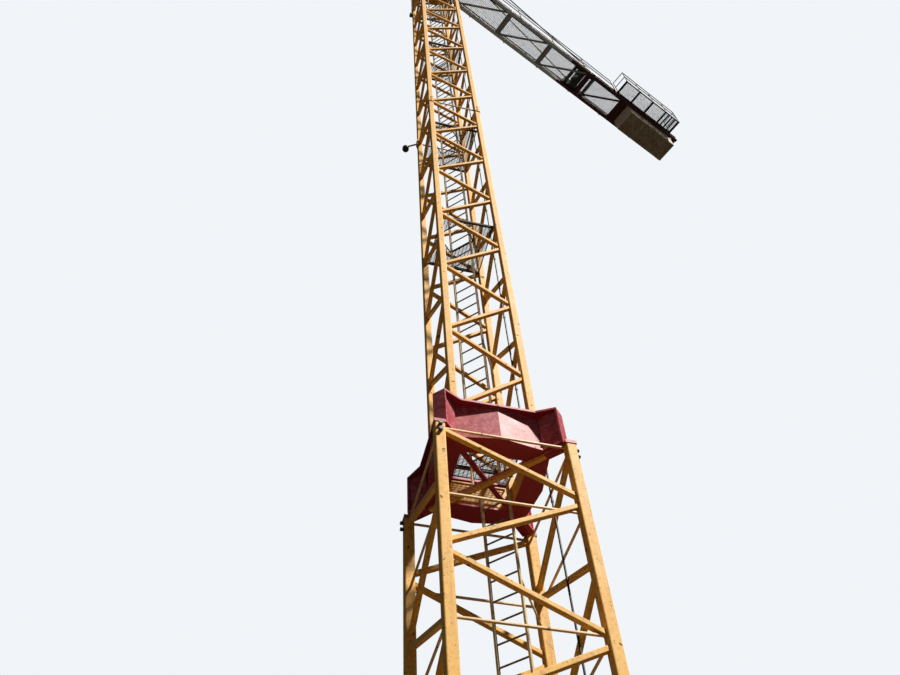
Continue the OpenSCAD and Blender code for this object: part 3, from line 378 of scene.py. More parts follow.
def turn_round(points, degrees):
    """Points turned about the mast's axis by an angle."""
    c, s = (round(f(math.radians(degrees)), 15) for f in (math.cos, math.sin))
    return points @ np.array([[c, s, 0], [-s, c, 0], [0, 0, 1]])


def zigzag_bars(half, inner, z0, pitch, bays, node, section):
    """The bars of one braced side: the section slides along each slope and is cut upright at both posts."""
    k = np.arange(2 * bays)
    rise = pitch / 2 - node
    z_low = z0 + k * pitch / 2 + node / 2
    side = np.where(k % 2 == 0, -1, 1)[:, None, None]
    slant = math.hypot(1, rise / 2 / inner)
    x = side * inner * np.array([1, -1])[None, :, None]
    x = np.broadcast_to(x, (len(k), 2, len(section)))
    y = np.broadcast_to(-half + section[:, 1], x.shape)
    z = (z_low[:, None] + rise * np.array([0, 1]))[:, :, None] + section[:, 0] * slant
    points = np.stack([x, y, z], axis=-1)
    return np.where(side[..., None] > 0, points, points[:, :, ::-1])


def cross_ties(half, inner, levels, width):
    """Straight rods across one side, one at each level."""
    levels = np.asarray(levels)[:, None] * UP
    section = rounded_section(width, width, width / 4, 2)
    return bars(levels + (-inner, -half, 0), levels + (inner, -half, 0), section)


def dress_sides(name, braces, ties, weld):
    """Makes the four braced sides of a mast, each one piece in place of its CAD node."""
    for quarter, side in enumerate(SIDES):
        tubes = turn_round(braces, 90 * quarter)
        join_pieces(f"{name}_{side}_tubes", "mast_paint", [
            grid_mesh("bars", tubes, "tower", yellow_paint),
            bead_mesh(weld_rings(tubes, weld), yellow_paint),
            grid_mesh("ties", turn_round(ties, 90 * quarter), "tower", tie_paint)], f"{name}_{side}")


tie_paint = painted("tie_paint", (0.72, 0.45, 0.16), (0.80, 0.58, 0.30), (0.18, 0.10, 0.05),
                    (0.05, 0.03, 0.02), streak=0.35, chips=0.7)
lower_in = LOWER_HALF - LOWER_POST / 2
LOWER_START = LOWER_TOP - LOWER_BAYS * LOWER_PITCH
braces = zigzag_bars(LOWER_HALF, lower_in, LOWER_START, LOWER_PITCH, LOWER_BAYS, LOWER_NODE,
                     rounded_section(LOWER_BAR, LOWER_BAR, BAR_EDGE))
dress_sides("lower_brace", braces, cross_ties(LOWER_HALF, lower_in, LOWER_TIES, TIE), LOWER_WELD)
dress(yellow_paint, "mast_paint", "plan_brace")

# The ladders stand across the mast's diagonal: two flat stiles with round rungs welded between them.
# Square bars hold their right stiles to the far right post.
LADDER_W = 0.214
LOWER_LADDER_AT = 0.103
STILE = (0.012, 0.025)
RUNG = 0.012
RUNG_PITCH = 0.150
RUNG_WELD = 0.0022
BRACKET = 0.012
BRACKET_END = 0.004
BRACKET_AT = 0.25
ACROSS = np.array([1, -1, 0]) / math.sqrt(2)
DEEP = np.array([1, 1, 0]) / math.sqrt(2)
EIGHTH_TURN = np.array([[1, 1], [-1, 1]]) * math.sqrt(0.5)

# The stiles' pale beige is painted light, and the rungs' dark brown is painted shade.
ladder_paint_painted_light = painted("ladder_paint_painted_light", (0.80, 0.58, 0.28), (0.84, 0.70, 0.46), (0.12, 0.08, 0.05),
                       (0.04, 0.02, 0.01), fade=0.8, streak=0.5, chips=0.7)
rung_paint_painted_shade = painted("rung_steel_painted_shade", (0.20, 0.145, 0.085), (0.32, 0.25, 0.17), (0.08, 0.05, 0.03),
                     (0.04, 0.02, 0.01), streak=0.4, matt=0.6)


def round_section(diameter, sides=12):
    """Points round a circle."""
    turn = np.linspace(0, 2 * np.pi, sides, endpoint=False)
    return diameter / 2 * np.stack([np.cos(turn), np.sin(turn)], axis=-1)


def flat_section(width, depth):
    """The four corners of a rectangle."""
    return QUADRANTS * (width / 2, depth / 2)


def ladder_piece(name, node, offset, z0, z1, half, post, levels):
    """A ladder between two heights at its offset along the diagonal, with its brackets at their levels."""
    foot = DEEP * offset
    stile = ACROSS * (LADDER_W - STILE[0]) / 2
    sides = np.array([[-1], [1]])
    diagonal = flat_section(STILE[1], STILE[0]) @ EIGHTH_TURN
    stiles = bars(foot + sides * stile + UP * z0, foot + sides * stile + UP * z1, diagonal)
    heights = np.arange(z0 + RUNG_PITCH, z1 - RUNG, RUNG_PITCH)[:, None] * UP
    rungs = bars(foot + heights - stile, foot + heights + stile, round_section(RUNG, 10))
    levels = np.asarray(levels)[:, None] * UP
    goal = np.array([half - post / 2, half - post / 2, 0]) + DEEP * BRACKET_END
    arms = bars(levels + foot + stile, levels + goal, flat_section(BRACKET, BRACKET))
    join_pieces(name, "mast_paint", [
        grid_mesh("stiles", stiles, "tower", ladder_paint_painted_light),
        grid_mesh("rungs", rungs, "tower", rung_paint_painted_shade, smooth=True),
        bead_mesh(weld_rings(rungs, RUNG_WELD), rung_paint_painted_shade),
        grid_mesh("arms", arms, "tower", ladder_paint_painted_light)], node)


ladder_low, ladder_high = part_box("lower_ladder")
ladder_piece("lower_ladder_bars", "lower_ladder", LOWER_LADDER_AT, ladder_low.z, ladder_high.z, LOWER_HALF,
             LOWER_POST, LOWER_START + (np.arange(LOWER_BAYS) + BRACKET_AT) * LOWER_PITCH)

# The transition frame is welded from plates: a bottom plate, bowed side webs and a flared top flange.
# Plates at its four corners are pinned to the lower posts, and weld beads run along the webs.
# Its deep red paint is faded pink on all but the undersides, partly real fading and partly painted light;
# the dark red undersides are painted shade.
WEB_CORNER = 0.3175
WEB_BOW = 0.050
FLANGE = 0.017
FRAME_FOOT = 0.026
BEAD = 0.012


def all_quarters(points):
    """The same items on all four sides of the mast."""
    return np.concatenate([turn_round(points, 90 * k) for k in range(4)])


# The pale pink faded colour is partly real fading and partly painted light; the dark red below is painted
# shade.
red_paint = painted("frame_paint", (0.31, 0.016, 0.026), (0.66, 0.185, 0.215), (0.10, 0.012, 0.014),
                    (0.05, 0.02, 0.02), fade=0.85, streak=0.18, chips=0.7, matt=0.52, shine=0.30)
dress(red_paint, "frame_paint", "transition_frame")
frame_low, frame_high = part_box("transition_frame")
web_line = np.array([(-WEB_CORNER, -WEB_CORNER, 0), (0, -WEB_CORNER - WEB_BOW, 0),
                     (WEB_CORNER, -WEB_CORNER, 0)])
beads = np.concatenate([bars(web_line[:2] + UP * z, web_line[1:] + UP * z, round_section(BEAD, 6))
                        for z in (frame_low.z + FRAME_FOOT + FLANGE, frame_high.z - FLANGE)])
settle(grid_mesh("transition_frame_welds", all_quarters(beads), "tower", red_paint, smooth=True),
       "frame_paint")
dress(yellow_paint, "mast_paint", "mast_foot_plates")

# The upper mast is built like the lower one, narrower, from square tubes welded into sections.
# Bolted sleeves join the sections at each post.
UPPER_POST = 0.055
UPPER_EDGE = 0.007
UPPER_PITCH = 0.947
UPPER_BAYS = 13
UPPER_BAR = 0.032
UPPER_NODE = 0.058
UPPER_WELD = 0.003
UPPER_END = 0.040
SECTION_BAYS = 6
SLEEVE_T = 0.009
SLEEVE_BOLT = (0.015, 0.006)
SLEEVE_BOLT_Z = (-0.05, -0.02, 0.02, 0.05)


def studs(places, normal, diameter, height, sides=6):
    """Bolt heads: six-sided prisms that stand on their places along one normal."""
    return bars(places, places + np.asarray(normal) * height, round_section(diameter, sides))


upper_low, upper_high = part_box("upper_posts")
UPPER_HALF = upper_high.x - UPPER_POST / 2
UPPER_START = upper_high.z - UPPER_END - UPPER_BAYS * UPPER_PITCH
JOINTS = UPPER_START + UPPER_PITCH * np.arange(SECTION_BAYS, UPPER_BAYS, SECTION_BAYS)
upper_in = UPPER_HALF - UPPER_POST / 2
upper_out = UPPER_HALF + UPPER_POST / 2
tubes = bars(CORNERS * UPPER_HALF + UP * upper_low.z, CORNERS * UPPER_HALF + UP * upper_high.z,
             rounded_section(UPPER_POST, UPPER_POST, UPPER_EDGE))
settle(grid_mesh("upper_post_tubes", tubes, "tower", yellow_paint), "mast_paint", "upper_posts")
braces = zigzag_bars(UPPER_HALF, upper_in, UPPER_START, UPPER_PITCH, UPPER_BAYS, UPPER_NODE,
                     rounded_section(UPPER_BAR, UPPER_BAR, BAR_EDGE))
dress_sides("upper_brace", braces, cross_ties(UPPER_HALF, upper_in, JOINTS, TIE), UPPER_WELD)
dress(yellow_paint, "mast_paint", "section_sleeves")
bolt_places = np.array([(s * (upper_out - UPPER_POST / 2), -upper_out - SLEEVE_T, z + dz)
                        for s in (-1, 1) for z in JOINTS for dz in SLEEVE_BOLT_Z])
bolts = all_quarters(studs(bolt_places, (0, -1, 0), *SLEEVE_BOLT))
settle(grid_mesh("sleeve_bolts", bolts, "tower", yellow_paint), "mast_paint")
ladder_low, ladder_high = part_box("upper_ladder")
ladder_piece("upper_ladder_bars", "upper_ladder", 0.0, ladder_low.z, ladder_high.z, UPPER_HALF, UPPER_POST,
             UPPER_START + (np.arange(1, UPPER_BAYS, 2) + BRACKET_AT) * UPPER_PITCH)

# The deck and the rest platforms are steel gratings on carrying bars, with a framed hatch for the ladder.
# Upright bearing bars and thin cross rods make the grating, so the light falls through.
GRATING_T = 0.010
BEARING = (0.004, 0.010)
BEARING_PITCH = 0.0125
PLATFORM_BAR = (0.003, 0.005)
ROD = 0.004
ROD_PITCH = 0.030
CARRIER = 0.022
HATCH_W = 0.240
HATCH_FRONT = 0.200
HATCH_BACK = 0.025
HATCH_RIM = 0.003
DECK_BAR = 0.150
PLATFORM_LEVELS = (2.98, 5.4, 8.5, 11.6)
CABLE = 0.014
CABLE_GAP = 0.0003
CABLE_HOLE = 0.012
CABLE_HIGH_Y = 0.150

zinc = painted("galvanised_steel", (0.68, 0.70, 0.69), (0.78, 0.79, 0.78), (0.24, 0.22, 0.18),
               (0.10, 0.07, 0.05), fade=0.7, streak=0.4, chips=0.2)
# The gratings' near-black colours are painted shade: their bars are seen from below, in shade.
grating_zinc_painted_shade = painted("grating_steel_painted_shade", (0.075, 0.08, 0.085), (0.13, 0.135, 0.14), (0.05, 0.04, 0.03),
                    (0.05, 0.03, 0.02), fade=0.7, streak=0.4, chips=0.2, matt=0.75)
platform_mesh_painted_shade = painted("platform_steel_painted_shade", (0.050, 0.043, 0.036), (0.085, 0.075, 0.065), (0.04, 0.03, 0.02),
                    (0.04, 0.02, 0.015), matt=0.8)


def boxes(lows, highs):
    """Upright boxes from their low and high corners."""
    low, high = np.atleast_2d(lows), np.atleast_2d(highs)
    x = np.stack([low[:, 0], high[:, 0], high[:, 0], low[:, 0]], axis=-1)
    y = np.stack([low[:, 1], low[:, 1], high[:, 1], high[:, 1]], axis=-1)
    rings = [np.stack([x, y, np.broadcast_to(z[:, None], x.shape)], axis=-1)
             for z in (low[:, 2], high[:, 2])]
    return np.stack(rings, axis=1)


def broken_lines(low, high, pitch, axis, holes):
    """Parallel lines across a rectangle, broken where each of them crosses a convex hole."""
    pieces = []
    for c in np.arange(low[1 - axis] + pitch / 2, high[1 - axis], pitch):
        gaps = []
        for p in holes:
            q = np.roll(p, -1, axis=0)
            met = (p[:, 1 - axis] - c) * (q[:, 1 - axis] - c) < 0
            if met.any():
                share = (c - p[met, 1 - axis]) / (q[met, 1 - axis] - p[met, 1 - axis])
                cut = p[met, axis] + share * (q[met, axis] - p[met, axis])
                gaps.append((cut.min(), cut.max()))
        edge = low[axis]
        for start, end in sorted(gaps) + [(high[axis], high[axis])]:
            if start - edge > pitch / 4:
                pieces.append([(edge, c), (start, c)] if axis == 0 else [(c, edge), (c, start)])
            edge = max(edge, end)
    return np.array(pieces)


def grating(low, high, z, holes, rim_holes, carriers, bar=BEARING):
    """A grating's bars, rods, outer rim, hole rims and carrying bars as arrays of the same shape."""
    def lifted(lines, height):
        """Flat lines, given a height."""
        return np.concatenate([lines, np.full(lines.shape[:2] + (1,), height)], axis=-1)

    bearing = lifted(broken_lines(low, high, BEARING_PITCH, 0, holes), z + GRATING_T / 2)
    rods = lifted(broken_lines(low, high, ROD_PITCH, 1, holes), z + GRATING_T - ROD / 2)
    rim = np.array([low, (high[0], low[1]), high, (low[0], high[1])]) + QUADRANTS * BEARING[0]
    edges = np.concatenate([np.stack([p, np.roll(p, -1, axis=0)], axis=1) for p in [rim] + rim_holes])
    edges = lifted(edges, z + GRATING_T / 2)
    return np.concatenate([
        bars(bearing[:, 0], bearing[:, 1], flat_section(*bar)),
        bars(rods[:, 0], rods[:, 1], flat_section(ROD, ROD)),
        bars(edges[:, 0], edges[:, 1], flat_section(BEARING[0] * 2, BEARING[1])),
        boxes(*carriers)])


def hatch_outline(grow=0.0):
    """The corners of the climbing hatch, which lies along the diagonal."""
    local = np.array([(-HATCH_FRONT, -HATCH_W / 2), (HATCH_BACK, -HATCH_W / 2), (HATCH_BACK, HATCH_W / 2),
                      (-HATCH_FRONT, HATCH_W / 2)]) - QUADRANTS * grow
    return local @ EIGHTH_TURN


def mast_floor(z, carrier_y):
    """A grating across the upper mast at one height, on two carrying bars, with its hatch and cable hole."""
    carriers = ([(-upper_in, side * carrier_y - CARRIER / 2, z - CARRIER) for side in (-1, 1)],
                [(upper_in, side * carrier_y + CARRIER / 2, z) for side in (-1, 1)])
    return grating(np.array([-upper_in, -upper_in]), np.array([upper_in, upper_in]), z,
                   [hatch_outline(), cable_hole], [hatch_outline(HATCH_RIM)], carriers, PLATFORM_BAR)


cable_x = UPPER_HALF - UPPER_BAR / 2 - CABLE / 2 - CABLE_GAP
cable_hole = np.array([cable_x, -CABLE_HIGH_Y]) + round_section(CABLE + CABLE_HOLE, 8)
deck = mast_floor(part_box("transition_deck")[1].z - GRATING_T, DECK_BAR)
settle(grid_mesh("transition_deck_grating", deck, "tower", grating_zinc_painted_shade), "galvanised_steel", "transition_deck")
platforms = [mast_floor(UPPER_START + bays * UPPER_PITCH, UPPER_HALF - UPPER_BAR / 2 - CARRIER / 2)
             for bays in PLATFORM_LEVELS]
settle(grid_mesh("rest_platform_gratings", np.concatenate(platforms), "tower", platform_mesh_painted_shade),
       "galvanised_steel", "rest_platforms")

# The camera hangs from a sloping arm on the far left post: a black dome under its collar.
# Its junction box sits on the mast with a signal cable, and clips hold the power cable on its way up.
DOME_START = 0.05
DOME_CUT = 0.81 * np.pi
DOME_STEPS = (14, 32)
COLLAR_W = 0.98
COLLAR_START = 0.62
CABLE_LOW_Y = 0.080
CABLE_TURN = 0.380
CABLE_CROSS = 0.080
CABLE_BEND = 0.035
CLIP_H = 0.020
CLIP_WALL = 0.003
CLIP_START = 0.4
CLIP_STOP = 0.1
LOW_CLIP_PITCH = 0.9
HIGH_CLIP_PITCH = 0.95


def tube_along(points, diameter, sides=12, fixed=(0.3, 1, 0)):
    """A tube along a line of points: circles stand square to the line, turned out of one fixed direction."""
    points = np.asarray(points, float)
    along = np.gradient(points, axis=0)
    along /= np.linalg.norm(along, axis=1, keepdims=True)
    side = np.cross(along, fixed)
    side /= np.linalg.norm(side, axis=1, keepdims=True)
    other = np.cross(along, side)
    section = round_section(diameter, sides)
    circles = section[:, 0, None] * side[:, None] + section[:, 1, None] * other[:, None]
    return (points[:, None] + circles)[None]


def rounded_route(corners, radius, steps=8):
    """A line through its corners, each corner replaced by a curve that starts and ends a radius from it."""
    corners = np.asarray(corners, float)
    line = [corners[0]]
    for before, corner, after in zip(corners[:-2], corners[1:-1], corners[2:]):
        start = corner + (before - corner) / np.linalg.norm(before - corner) * radius
        end = corner + (after - corner) / np.linalg.norm(after - corner) * radius
        t = np.linspace(0, 1, steps)[:, None]
        line.extend((1 - t) ** 2 * start + 2 * t * (1 - t) * corner + t ** 2 * end)
    line.append(corners[-1])
    return np.array(line)


black = painted("black_rubber", (0.010, 0.010, 0.011), (0.022, 0.022, 0.022), (0.045, 0.040, 0.035),
                (0.01, 0.01, 0.01), streak=0.2, chips=0.2)
dress(zinc, "galvanised_steel", "camera_arm")
dress(black, "black_rubber", "junction_box", "signal_cable")
dome_low, dome_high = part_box("camera_dome")
middle = (dome_low + dome_high) / 2
radius = (dome_high.x - dome_low.x) / 2
rise, turn = np.meshgrid(np.linspace(DOME_START, DOME_CUT, DOME_STEPS[0]),
                         np.linspace(0, 2 * np.pi, DOME_STEPS[1], endpoint=False), indexing="ij")
rings = np.stack([middle.x + radius * np.sin(rise) * np.cos(turn),
                  middle.y + radius * np.sin(rise) * np.sin(turn),
                  dome_low.z + radius * (1 - np.cos(rise))], axis=-1)
dome_finish, tree = new_finish("camera_glass")
end_finish(tree, {"Base Color": (0.006, 0.006, 0.007, 1), "Roughness": 0.12})
collar = bars([(middle.x, middle.y, dome_low.z + 2 * radius * COLLAR_START)],
              [(middle.x, middle.y, dome_high.z)], round_section(2 * radius * COLLAR_W, DOME_STEPS[1]))
join_pieces("camera_dome_shell", "black_rubber", [
    grid_mesh("camera_dome_shell", rings[None], "tower", dome_finish, smooth=True),
    grid_mesh("collar", collar, "tower", black, smooth=True)], "camera_dome")
cable_low, cable_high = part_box("power_cable")
low_x = LOWER_HALF - LOWER_BAR / 2 - CABLE / 2 - CABLE_GAP
turn_z = LOWER_TOP + CABLE_TURN
route = rounded_route([(low_x, -CABLE_LOW_Y, cable_low.z), (low_x, -CABLE_LOW_Y, turn_z),
                       (cable_x, -CABLE_HIGH_Y, turn_z + CABLE_CROSS),
                       (cable_x, -CABLE_HIGH_Y, cable_high.z)], CABLE_BEND)
low_clip_z = np.arange(cable_low.z + CLIP_START, LOWER_TOP - CLIP_STOP, LOW_CLIP_PITCH)
high_clip_z = np.arange(LOWER_TOP + LOW_CLIP_PITCH, cable_high.z, HIGH_CLIP_PITCH)
clip_at = np.array([(low_x, -CABLE_LOW_Y, z) for z in low_clip_z] +
                   [(cable_x, -CABLE_HIGH_Y, z) for z in high_clip_z])
clips = bars(clip_at - UP * CLIP_H / 2, clip_at + UP * CLIP_H / 2, round_section(CABLE + 2 * CLIP_WALL))
join_pieces("power_cable_tube", "black_rubber", [
    grid_mesh("tube", tube_along(route, CABLE), "tower", black, smooth=True),
    grid_mesh("clips", clips, "tower", black, smooth=True)], "power_cable")

# The slewing support is a welded ring with gussets on top of the mast.
# It carries the fixed half of the slewing ring on a ring of bolts.
SUPPORT_BOLT_R = 0.335
SUPPORT_LIP = 0.024
SUPPORT_BOLT = (0.014, 0.012)
RING_BOLTS = 36

dress(yellow_paint, "mast_paint", "slewing_support")
dress(zinc, "galvanised_steel", "slewing_ring_fixed")
turn = np.linspace(0, 2 * np.pi, RING_BOLTS, endpoint=False)
around = np.stack([np.cos(turn), np.sin(turn), np.zeros(RING_BOLTS)], axis=-1)
bolt_places = around * SUPPORT_BOLT_R + UP * (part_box("slewing_support")[1].z - SUPPORT_LIP)
bolts = studs(bolt_places, -UP, *SUPPORT_BOLT)
settle(grid_mesh("ring_bolts_fixed", bolts, "tower", pin_steel), "dark_steel")

# Above the ring everything turns: the platform with its two slewing motors and the tower head.
# Their shapes are worked out along the counter-jib and turned to its direction in the photograph.
REST_TURN = 22.67
TABLE_BOLT_R = 0.285
TABLE_BOLT = (0.016, 0.010)
HEAD_PIN = 0.030
HEAD_PIN_X = 0.09
HEAD_PIN_Z = 0.071
HEAD_PIN_HALF = 0.090


def upper_piece(name, points, finish, slot, *nodes, smooth=False):
    """A piece that rides the upper works: its points lie along the counter-jib and are turned with it."""
    points = turn_round(points, REST_TURN)
    return settle(grid_mesh(name, points, "upper_works", finish, smooth=smooth), slot, *nodes)


dress(zinc, "galvanised_steel", "slewing_ring_turning", "slewing_motors")
dress(yellow_paint, "mast_paint", "turntable", "tower_head", "head_cap")
bolt_places = around * TABLE_BOLT_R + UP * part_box("tower_head")[0].z
upper_piece("turntable_bolts", studs(bolt_places, UP, *TABLE_BOLT), pin_steel, "dark_steel")
pin_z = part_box("head_cap")[0].z + HEAD_PIN_Z
pins = bars([(x, -HEAD_PIN_HALF, pin_z) for x in (-HEAD_PIN_X, HEAD_PIN_X)],
            [(x, HEAD_PIN_HALF, pin_z) for x in (-HEAD_PIN_X, HEAD_PIN_X)], round_section(HEAD_PIN, 20))
upper_piece("head_pins", pins, pin_steel, "dark_steel", smooth=True)

# The cab is a painted steel shell with large panes in black rubber seals, and a seat stands in it.
# It is bolted to the tower head and hangs beside the jib's foot.
SEAL = 0.012
SEAL_IN = 0.002
CAB_START, CAB_END = -0.900, -0.100
CAB_SIDE, CAB_W, CAB_H = 0.400, 0.560, 1.050
CAB_FRAME = 0.060
CAB_T = 0.020
SILL = 0.35
SEAT_AT = -0.42
# Cushion, back, foot and two control boxes, each by its low and high corner.
SEAT_PARTS = (((-0.12, -0.12, 0.20), (0.12, 0.12, 0.25)), ((0.08, -0.12, 0.25), (0.13, 0.12, 0.55)),
              ((-0.03, -0.03, CAB_T), (0.03, 0.03, 0.20)), ((-0.16, -0.22, CAB_T), (0.10, -0.15, 0.33)),
              ((-0.16, 0.15, CAB_T), (0.10, 0.22, 0.33)))

cab_paint = painted("cab_paint", (0.66, 0.66, 0.63), (0.74, 0.74, 0.71), (0.25, 0.23, 0.20),
                    (0.2, 0.1, 0.05), streak=0.35, chips=0.3)
dress(cab_paint, "cab_paint", "cab_shell")
glass, tree = new_finish("cab_glazing")
film = add_node(tree, "ShaderNodeTexCoord").outputs["Object"]
end_finish(tree, {"Base Color": (0.72, 0.80, 0.82, 1), "IOR": 1.45, "Transmission Weight": 0.9,
                  "Roughness": grade(tree, noise(tree, film, 5.0, 5.0), 0, 1, 0.02, 0.12)})
dress(glass, "cab_glazing", "cab_glass")
CAB_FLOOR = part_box("cab_shell")[0].z


def pane_seals():
    """Rubber strips round each window opening, half their width inside it, and thinner than the wall."""
    z0, z1 = CAB_FLOOR + CAB_FRAME, CAB_FLOOR + CAB_H - CAB_FRAME
    y0, y1 = -CAB_SIDE - CAB_W + CAB_FRAME, -CAB_SIDE - CAB_FRAME
    x = CAB_START + CAB_T / 2
    x0, x1, zs = CAB_START + CAB_FRAME, CAB_END - 3 * CAB_FRAME, CAB_FLOOR + CAB_H * SILL
    outlines = [[(x, y0, z0), (x, y1, z0), (x, y1, z1), (x, y0, z1)]]
    outlines += [[(x0, y, zs), (x1, y, zs), (x1, y, z1), (x0, y, z1)]
                 for y in (-CAB_SIDE - CAB_W + CAB_T / 2, -CAB_SIDE - CAB_T / 2)]
    return np.concatenate([bars(line, np.roll(line, -1, axis=0), flat_section(SEAL, CAB_T - SEAL_IN))
                           for line in np.array(outlines)])


upper_piece("cab_seals", pane_seals(), black, "black_rubber")
seat = np.array(SEAT_PARTS) + (SEAT_AT, -CAB_SIDE - CAB_W / 2, CAB_FLOOR)
upper_piece("cab_seat", boxes(seat[:, 0], seat[:, 1]), black, "black_rubber")

# The jib is a three-chord lattice welded from tubes, with gussets at its lower nodes.
# Two tie bars hold it, pinned to lugs on its top chord.
HEAD_FACE = 0.288
JIB_L = 22.4
JIB_BAYS = 22
JIB_H = 0.620
JIB_W = 0.560
JIB_CHORD = 0.050
TIE_BAYS = (6.5, 15.5)
GUSSET = (0.12, 0.006, 0.07)
GUSSET_IN = 0.012
GUSSET_UP = 0.02
JIB_LUG = (0.10, 0.010, 0.075)
JIB_LUG_Y = 0.022

dress(yellow_paint, "mast_paint", "jib_chords", "jib_brace_left", "jib_brace_right", "jib_brace_floor",
      "jib_tie_bars")
JIB_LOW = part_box("jib_chords")[0].z + JIB_CHORD / 2


def jib_s(k):
    """Place of a jib bay's start along the jib."""
    return -HEAD_FACE - np.asarray(k) * (JIB_L - HEAD_FACE) / JIB_BAYS


def blocks(centres, size):
    """Boxes of one size from the middles of their undersides."""
    low = np.asarray(centres) - (size[0] / 2, size[1] / 2, 0)
    return boxes(low, low + size)


gussets = blocks([(s, side * (JIB_W / 2 - GUSSET_IN), JIB_LOW + GUSSET_UP) for side in (-1, 1)
                  for s in jib_s(np.arange(1, JIB_BAYS))], GUSSET)
upper_piece("jib_gussets", gussets, yellow_paint, "mast_paint")
lugs = blocks([(s, side * JIB_LUG_Y, JIB_LOW + JIB_H) for s in jib_s(TIE_BAYS) for side in (-1, 1)], JIB_LUG)
upper_piece("jib_tie_lugs", lugs, yellow_paint, "mast_paint")

# The counter-jib's two I girders are galvanised near the head and dark red beyond a bolted joint.
# Upright stiffeners stand between their flanges, and cross beams with diagonals tie them.
GIRDER_Y = 0.250
GIRDER_H = 0.150
GIRDER_T = 0.009
FLANGE_HALF = 0.030
GIRDER_JOINT = 3.354
GIRDER_END = 6.304
GREY_STIFFENERS = (0.765, 1.280, 1.795, 2.310, 2.825)
RED_STIFFENERS = (3.855, 4.370)
STIFFENER = (0.008, 0.024, GIRDER_H - 2 * GIRDER_T)
SPLICE = (0.20, 0.008, 0.106)
SPLICE_UP = 0.022
SPLICE_BOLT = (0.014, 0.008)
SPLICE_BOLT_S = (-0.075, -0.035, 0.035, 0.075)
SPLICE_BOLT_Z = (0.045, 0.105)

dark_red = painted("end_paint", (0.085, 0.012, 0.011), (0.16, 0.040, 0.036), (0.04, 0.025, 0.02),
                   (0.03, 0.02, 0.02), fade=0.6, streak=0.4, chips=0.5)
beam_grey = painted("beam_steel", (0.36, 0.35, 0.32), (0.46, 0.45, 0.42), (0.14, 0.12, 0.09),
                    (0.08, 0.05, 0.03))
dress(zinc, "galvanised_steel", "counter_girders")
dress(beam_grey, "galvanised_steel", "counter_cross_beams")
dress(dark_red, "end_paint", "end_girders", "end_cross_beams")
GIRDER_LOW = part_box("counter_girders")[0].z
GIRDER_TOP = GIRDER_LOW + GIRDER_H


def beside_webs(places, size, z):
    """Blocks of one size on both sides of each girder's web, at their places along it."""
    off = (GIRDER_T + size[1]) / 2
    return blocks([(s, y + side * off, z) for s in places for y in (-GIRDER_Y, GIRDER_Y)
                   for side in (-1, 1)], size)


for name, places, finish, slot in (("girder_stiffeners", GREY_STIFFENERS, zinc, "galvanised_steel"),
                                   ("end_stiffeners", RED_STIFFENERS, dark_red, "end_paint")):
    upper_piece(name, beside_webs(places, STIFFENER, GIRDER_LOW + GIRDER_T), finish, slot)
splices = beside_webs([GIRDER_JOINT], SPLICE, GIRDER_LOW + SPLICE_UP)
upper_piece("girder_splices", splices, zinc, "galvanised_steel")
bolt_grid = np.array([(GIRDER_JOINT + ds, y, GIRDER_LOW + dz) for ds in SPLICE_BOLT_S
                      for y in (-GIRDER_Y, GIRDER_Y) for dz in SPLICE_BOLT_Z])
bolts = [studs(bolt_grid + (0, side * (GIRDER_T / 2 + SPLICE[1]), 0), (0, side, 0), *SPLICE_BOLT)
         for side in (-1, 1)]
upper_piece("splice_bolts", np.concatenate(bolts), pin_steel, "dark_steel")

# The walkway between the girders is steel grating in an edge frame, laid on the cross beams.
# Tubes make its handrails on both sides, with their posts fixed to the girders.
RAIL = 0.017
RAIL_H = 0.500
RAIL_Y = GIRDER_Y + FLANGE_HALF + RAIL / 2
POST_PITCH = 0.860
WALK_EDGE = 0.014
WALK_EDGE_H = 0.036
WALK_GAP = 0.012
WEIGHT_START = 4.925
WALK_END = WEIGHT_START - 0.004
SERVICE_START = 4.560

# The handrails' near-black colour is painted shade on thin tubes seen from their shaded undersides.
rail_steel_painted_shade = painted("rail_steel_painted_shade", (0.035, 0.038, 0.038), (0.075, 0.078, 0.078), (0.04, 0.035, 0.03),
                     (0.04, 0.03, 0.02), matt=0.7)


def railing(s0, s1, y, z, count, foot=0.0):
    """Posts, a top rail and a knee rail between two places along the counter-jib."""
    s = np.linspace(s0 + RAIL / 2, s1 - RAIL / 2, count)
    heights = [z + h * RAIL_H - RAIL / 2 for h in (0.5, 1)]
    posts = bars([(a, y, z - foot) for a in s], [(a, y, heights[1]) for a in s], round_section(RAIL))
    rails = bars([(s0, y, h) for h in heights], [(s1, y, h) for h in heights], round_section(RAIL))
    return np.concatenate([posts, rails])


walk_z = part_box("counter_walkway")[0].z
walk_half = GIRDER_Y - FLANGE_HALF - WALK_GAP
edge_top = walk_z + WALK_EDGE_H
edge_bars = ([(HEAD_FACE, -walk_half, walk_z), (HEAD_FACE, walk_half - WALK_EDGE, walk_z)],
             [(WALK_END, WALK_EDGE - walk_half, edge_top), (WALK_END, walk_half, edge_top)])
walkway = grating(np.array([HEAD_FACE, WALK_EDGE - walk_half]), np.array([WALK_END, walk_half - WALK_EDGE]),
                  walk_z, [], [], edge_bars)
upper_piece("walkway_grating", walkway, grating_zinc_painted_shade, "galvanised_steel", "counter_walkway")
start = HEAD_FACE + RAIL
rails = [railing(start, end, side * RAIL_Y, GIRDER_TOP, 1 + round((end - start) / POST_PITCH), GIRDER_H)
         for side, end in ((1, GIRDER_END - 2 * RAIL), (-1, SERVICE_START - 2 * RAIL))]
upper_piece("handrail_tubes", np.concatenate(rails), rail_steel_painted_shade, "galvanised_steel", "counter_handrails",
            smooth=True)

# Beside the counterweight a service platform hangs on the front girder.
# It is a dark frame of flat bars with grating on it, and a railing of tubes on three sides.
SERVICE_L = 1.510
SERVICE_W = 0.310
SERVICE_BAR = 0.026
SERVICE_BAYS = 4
SERVICE_T = 0.050
SERVICE_THIN = 0.011

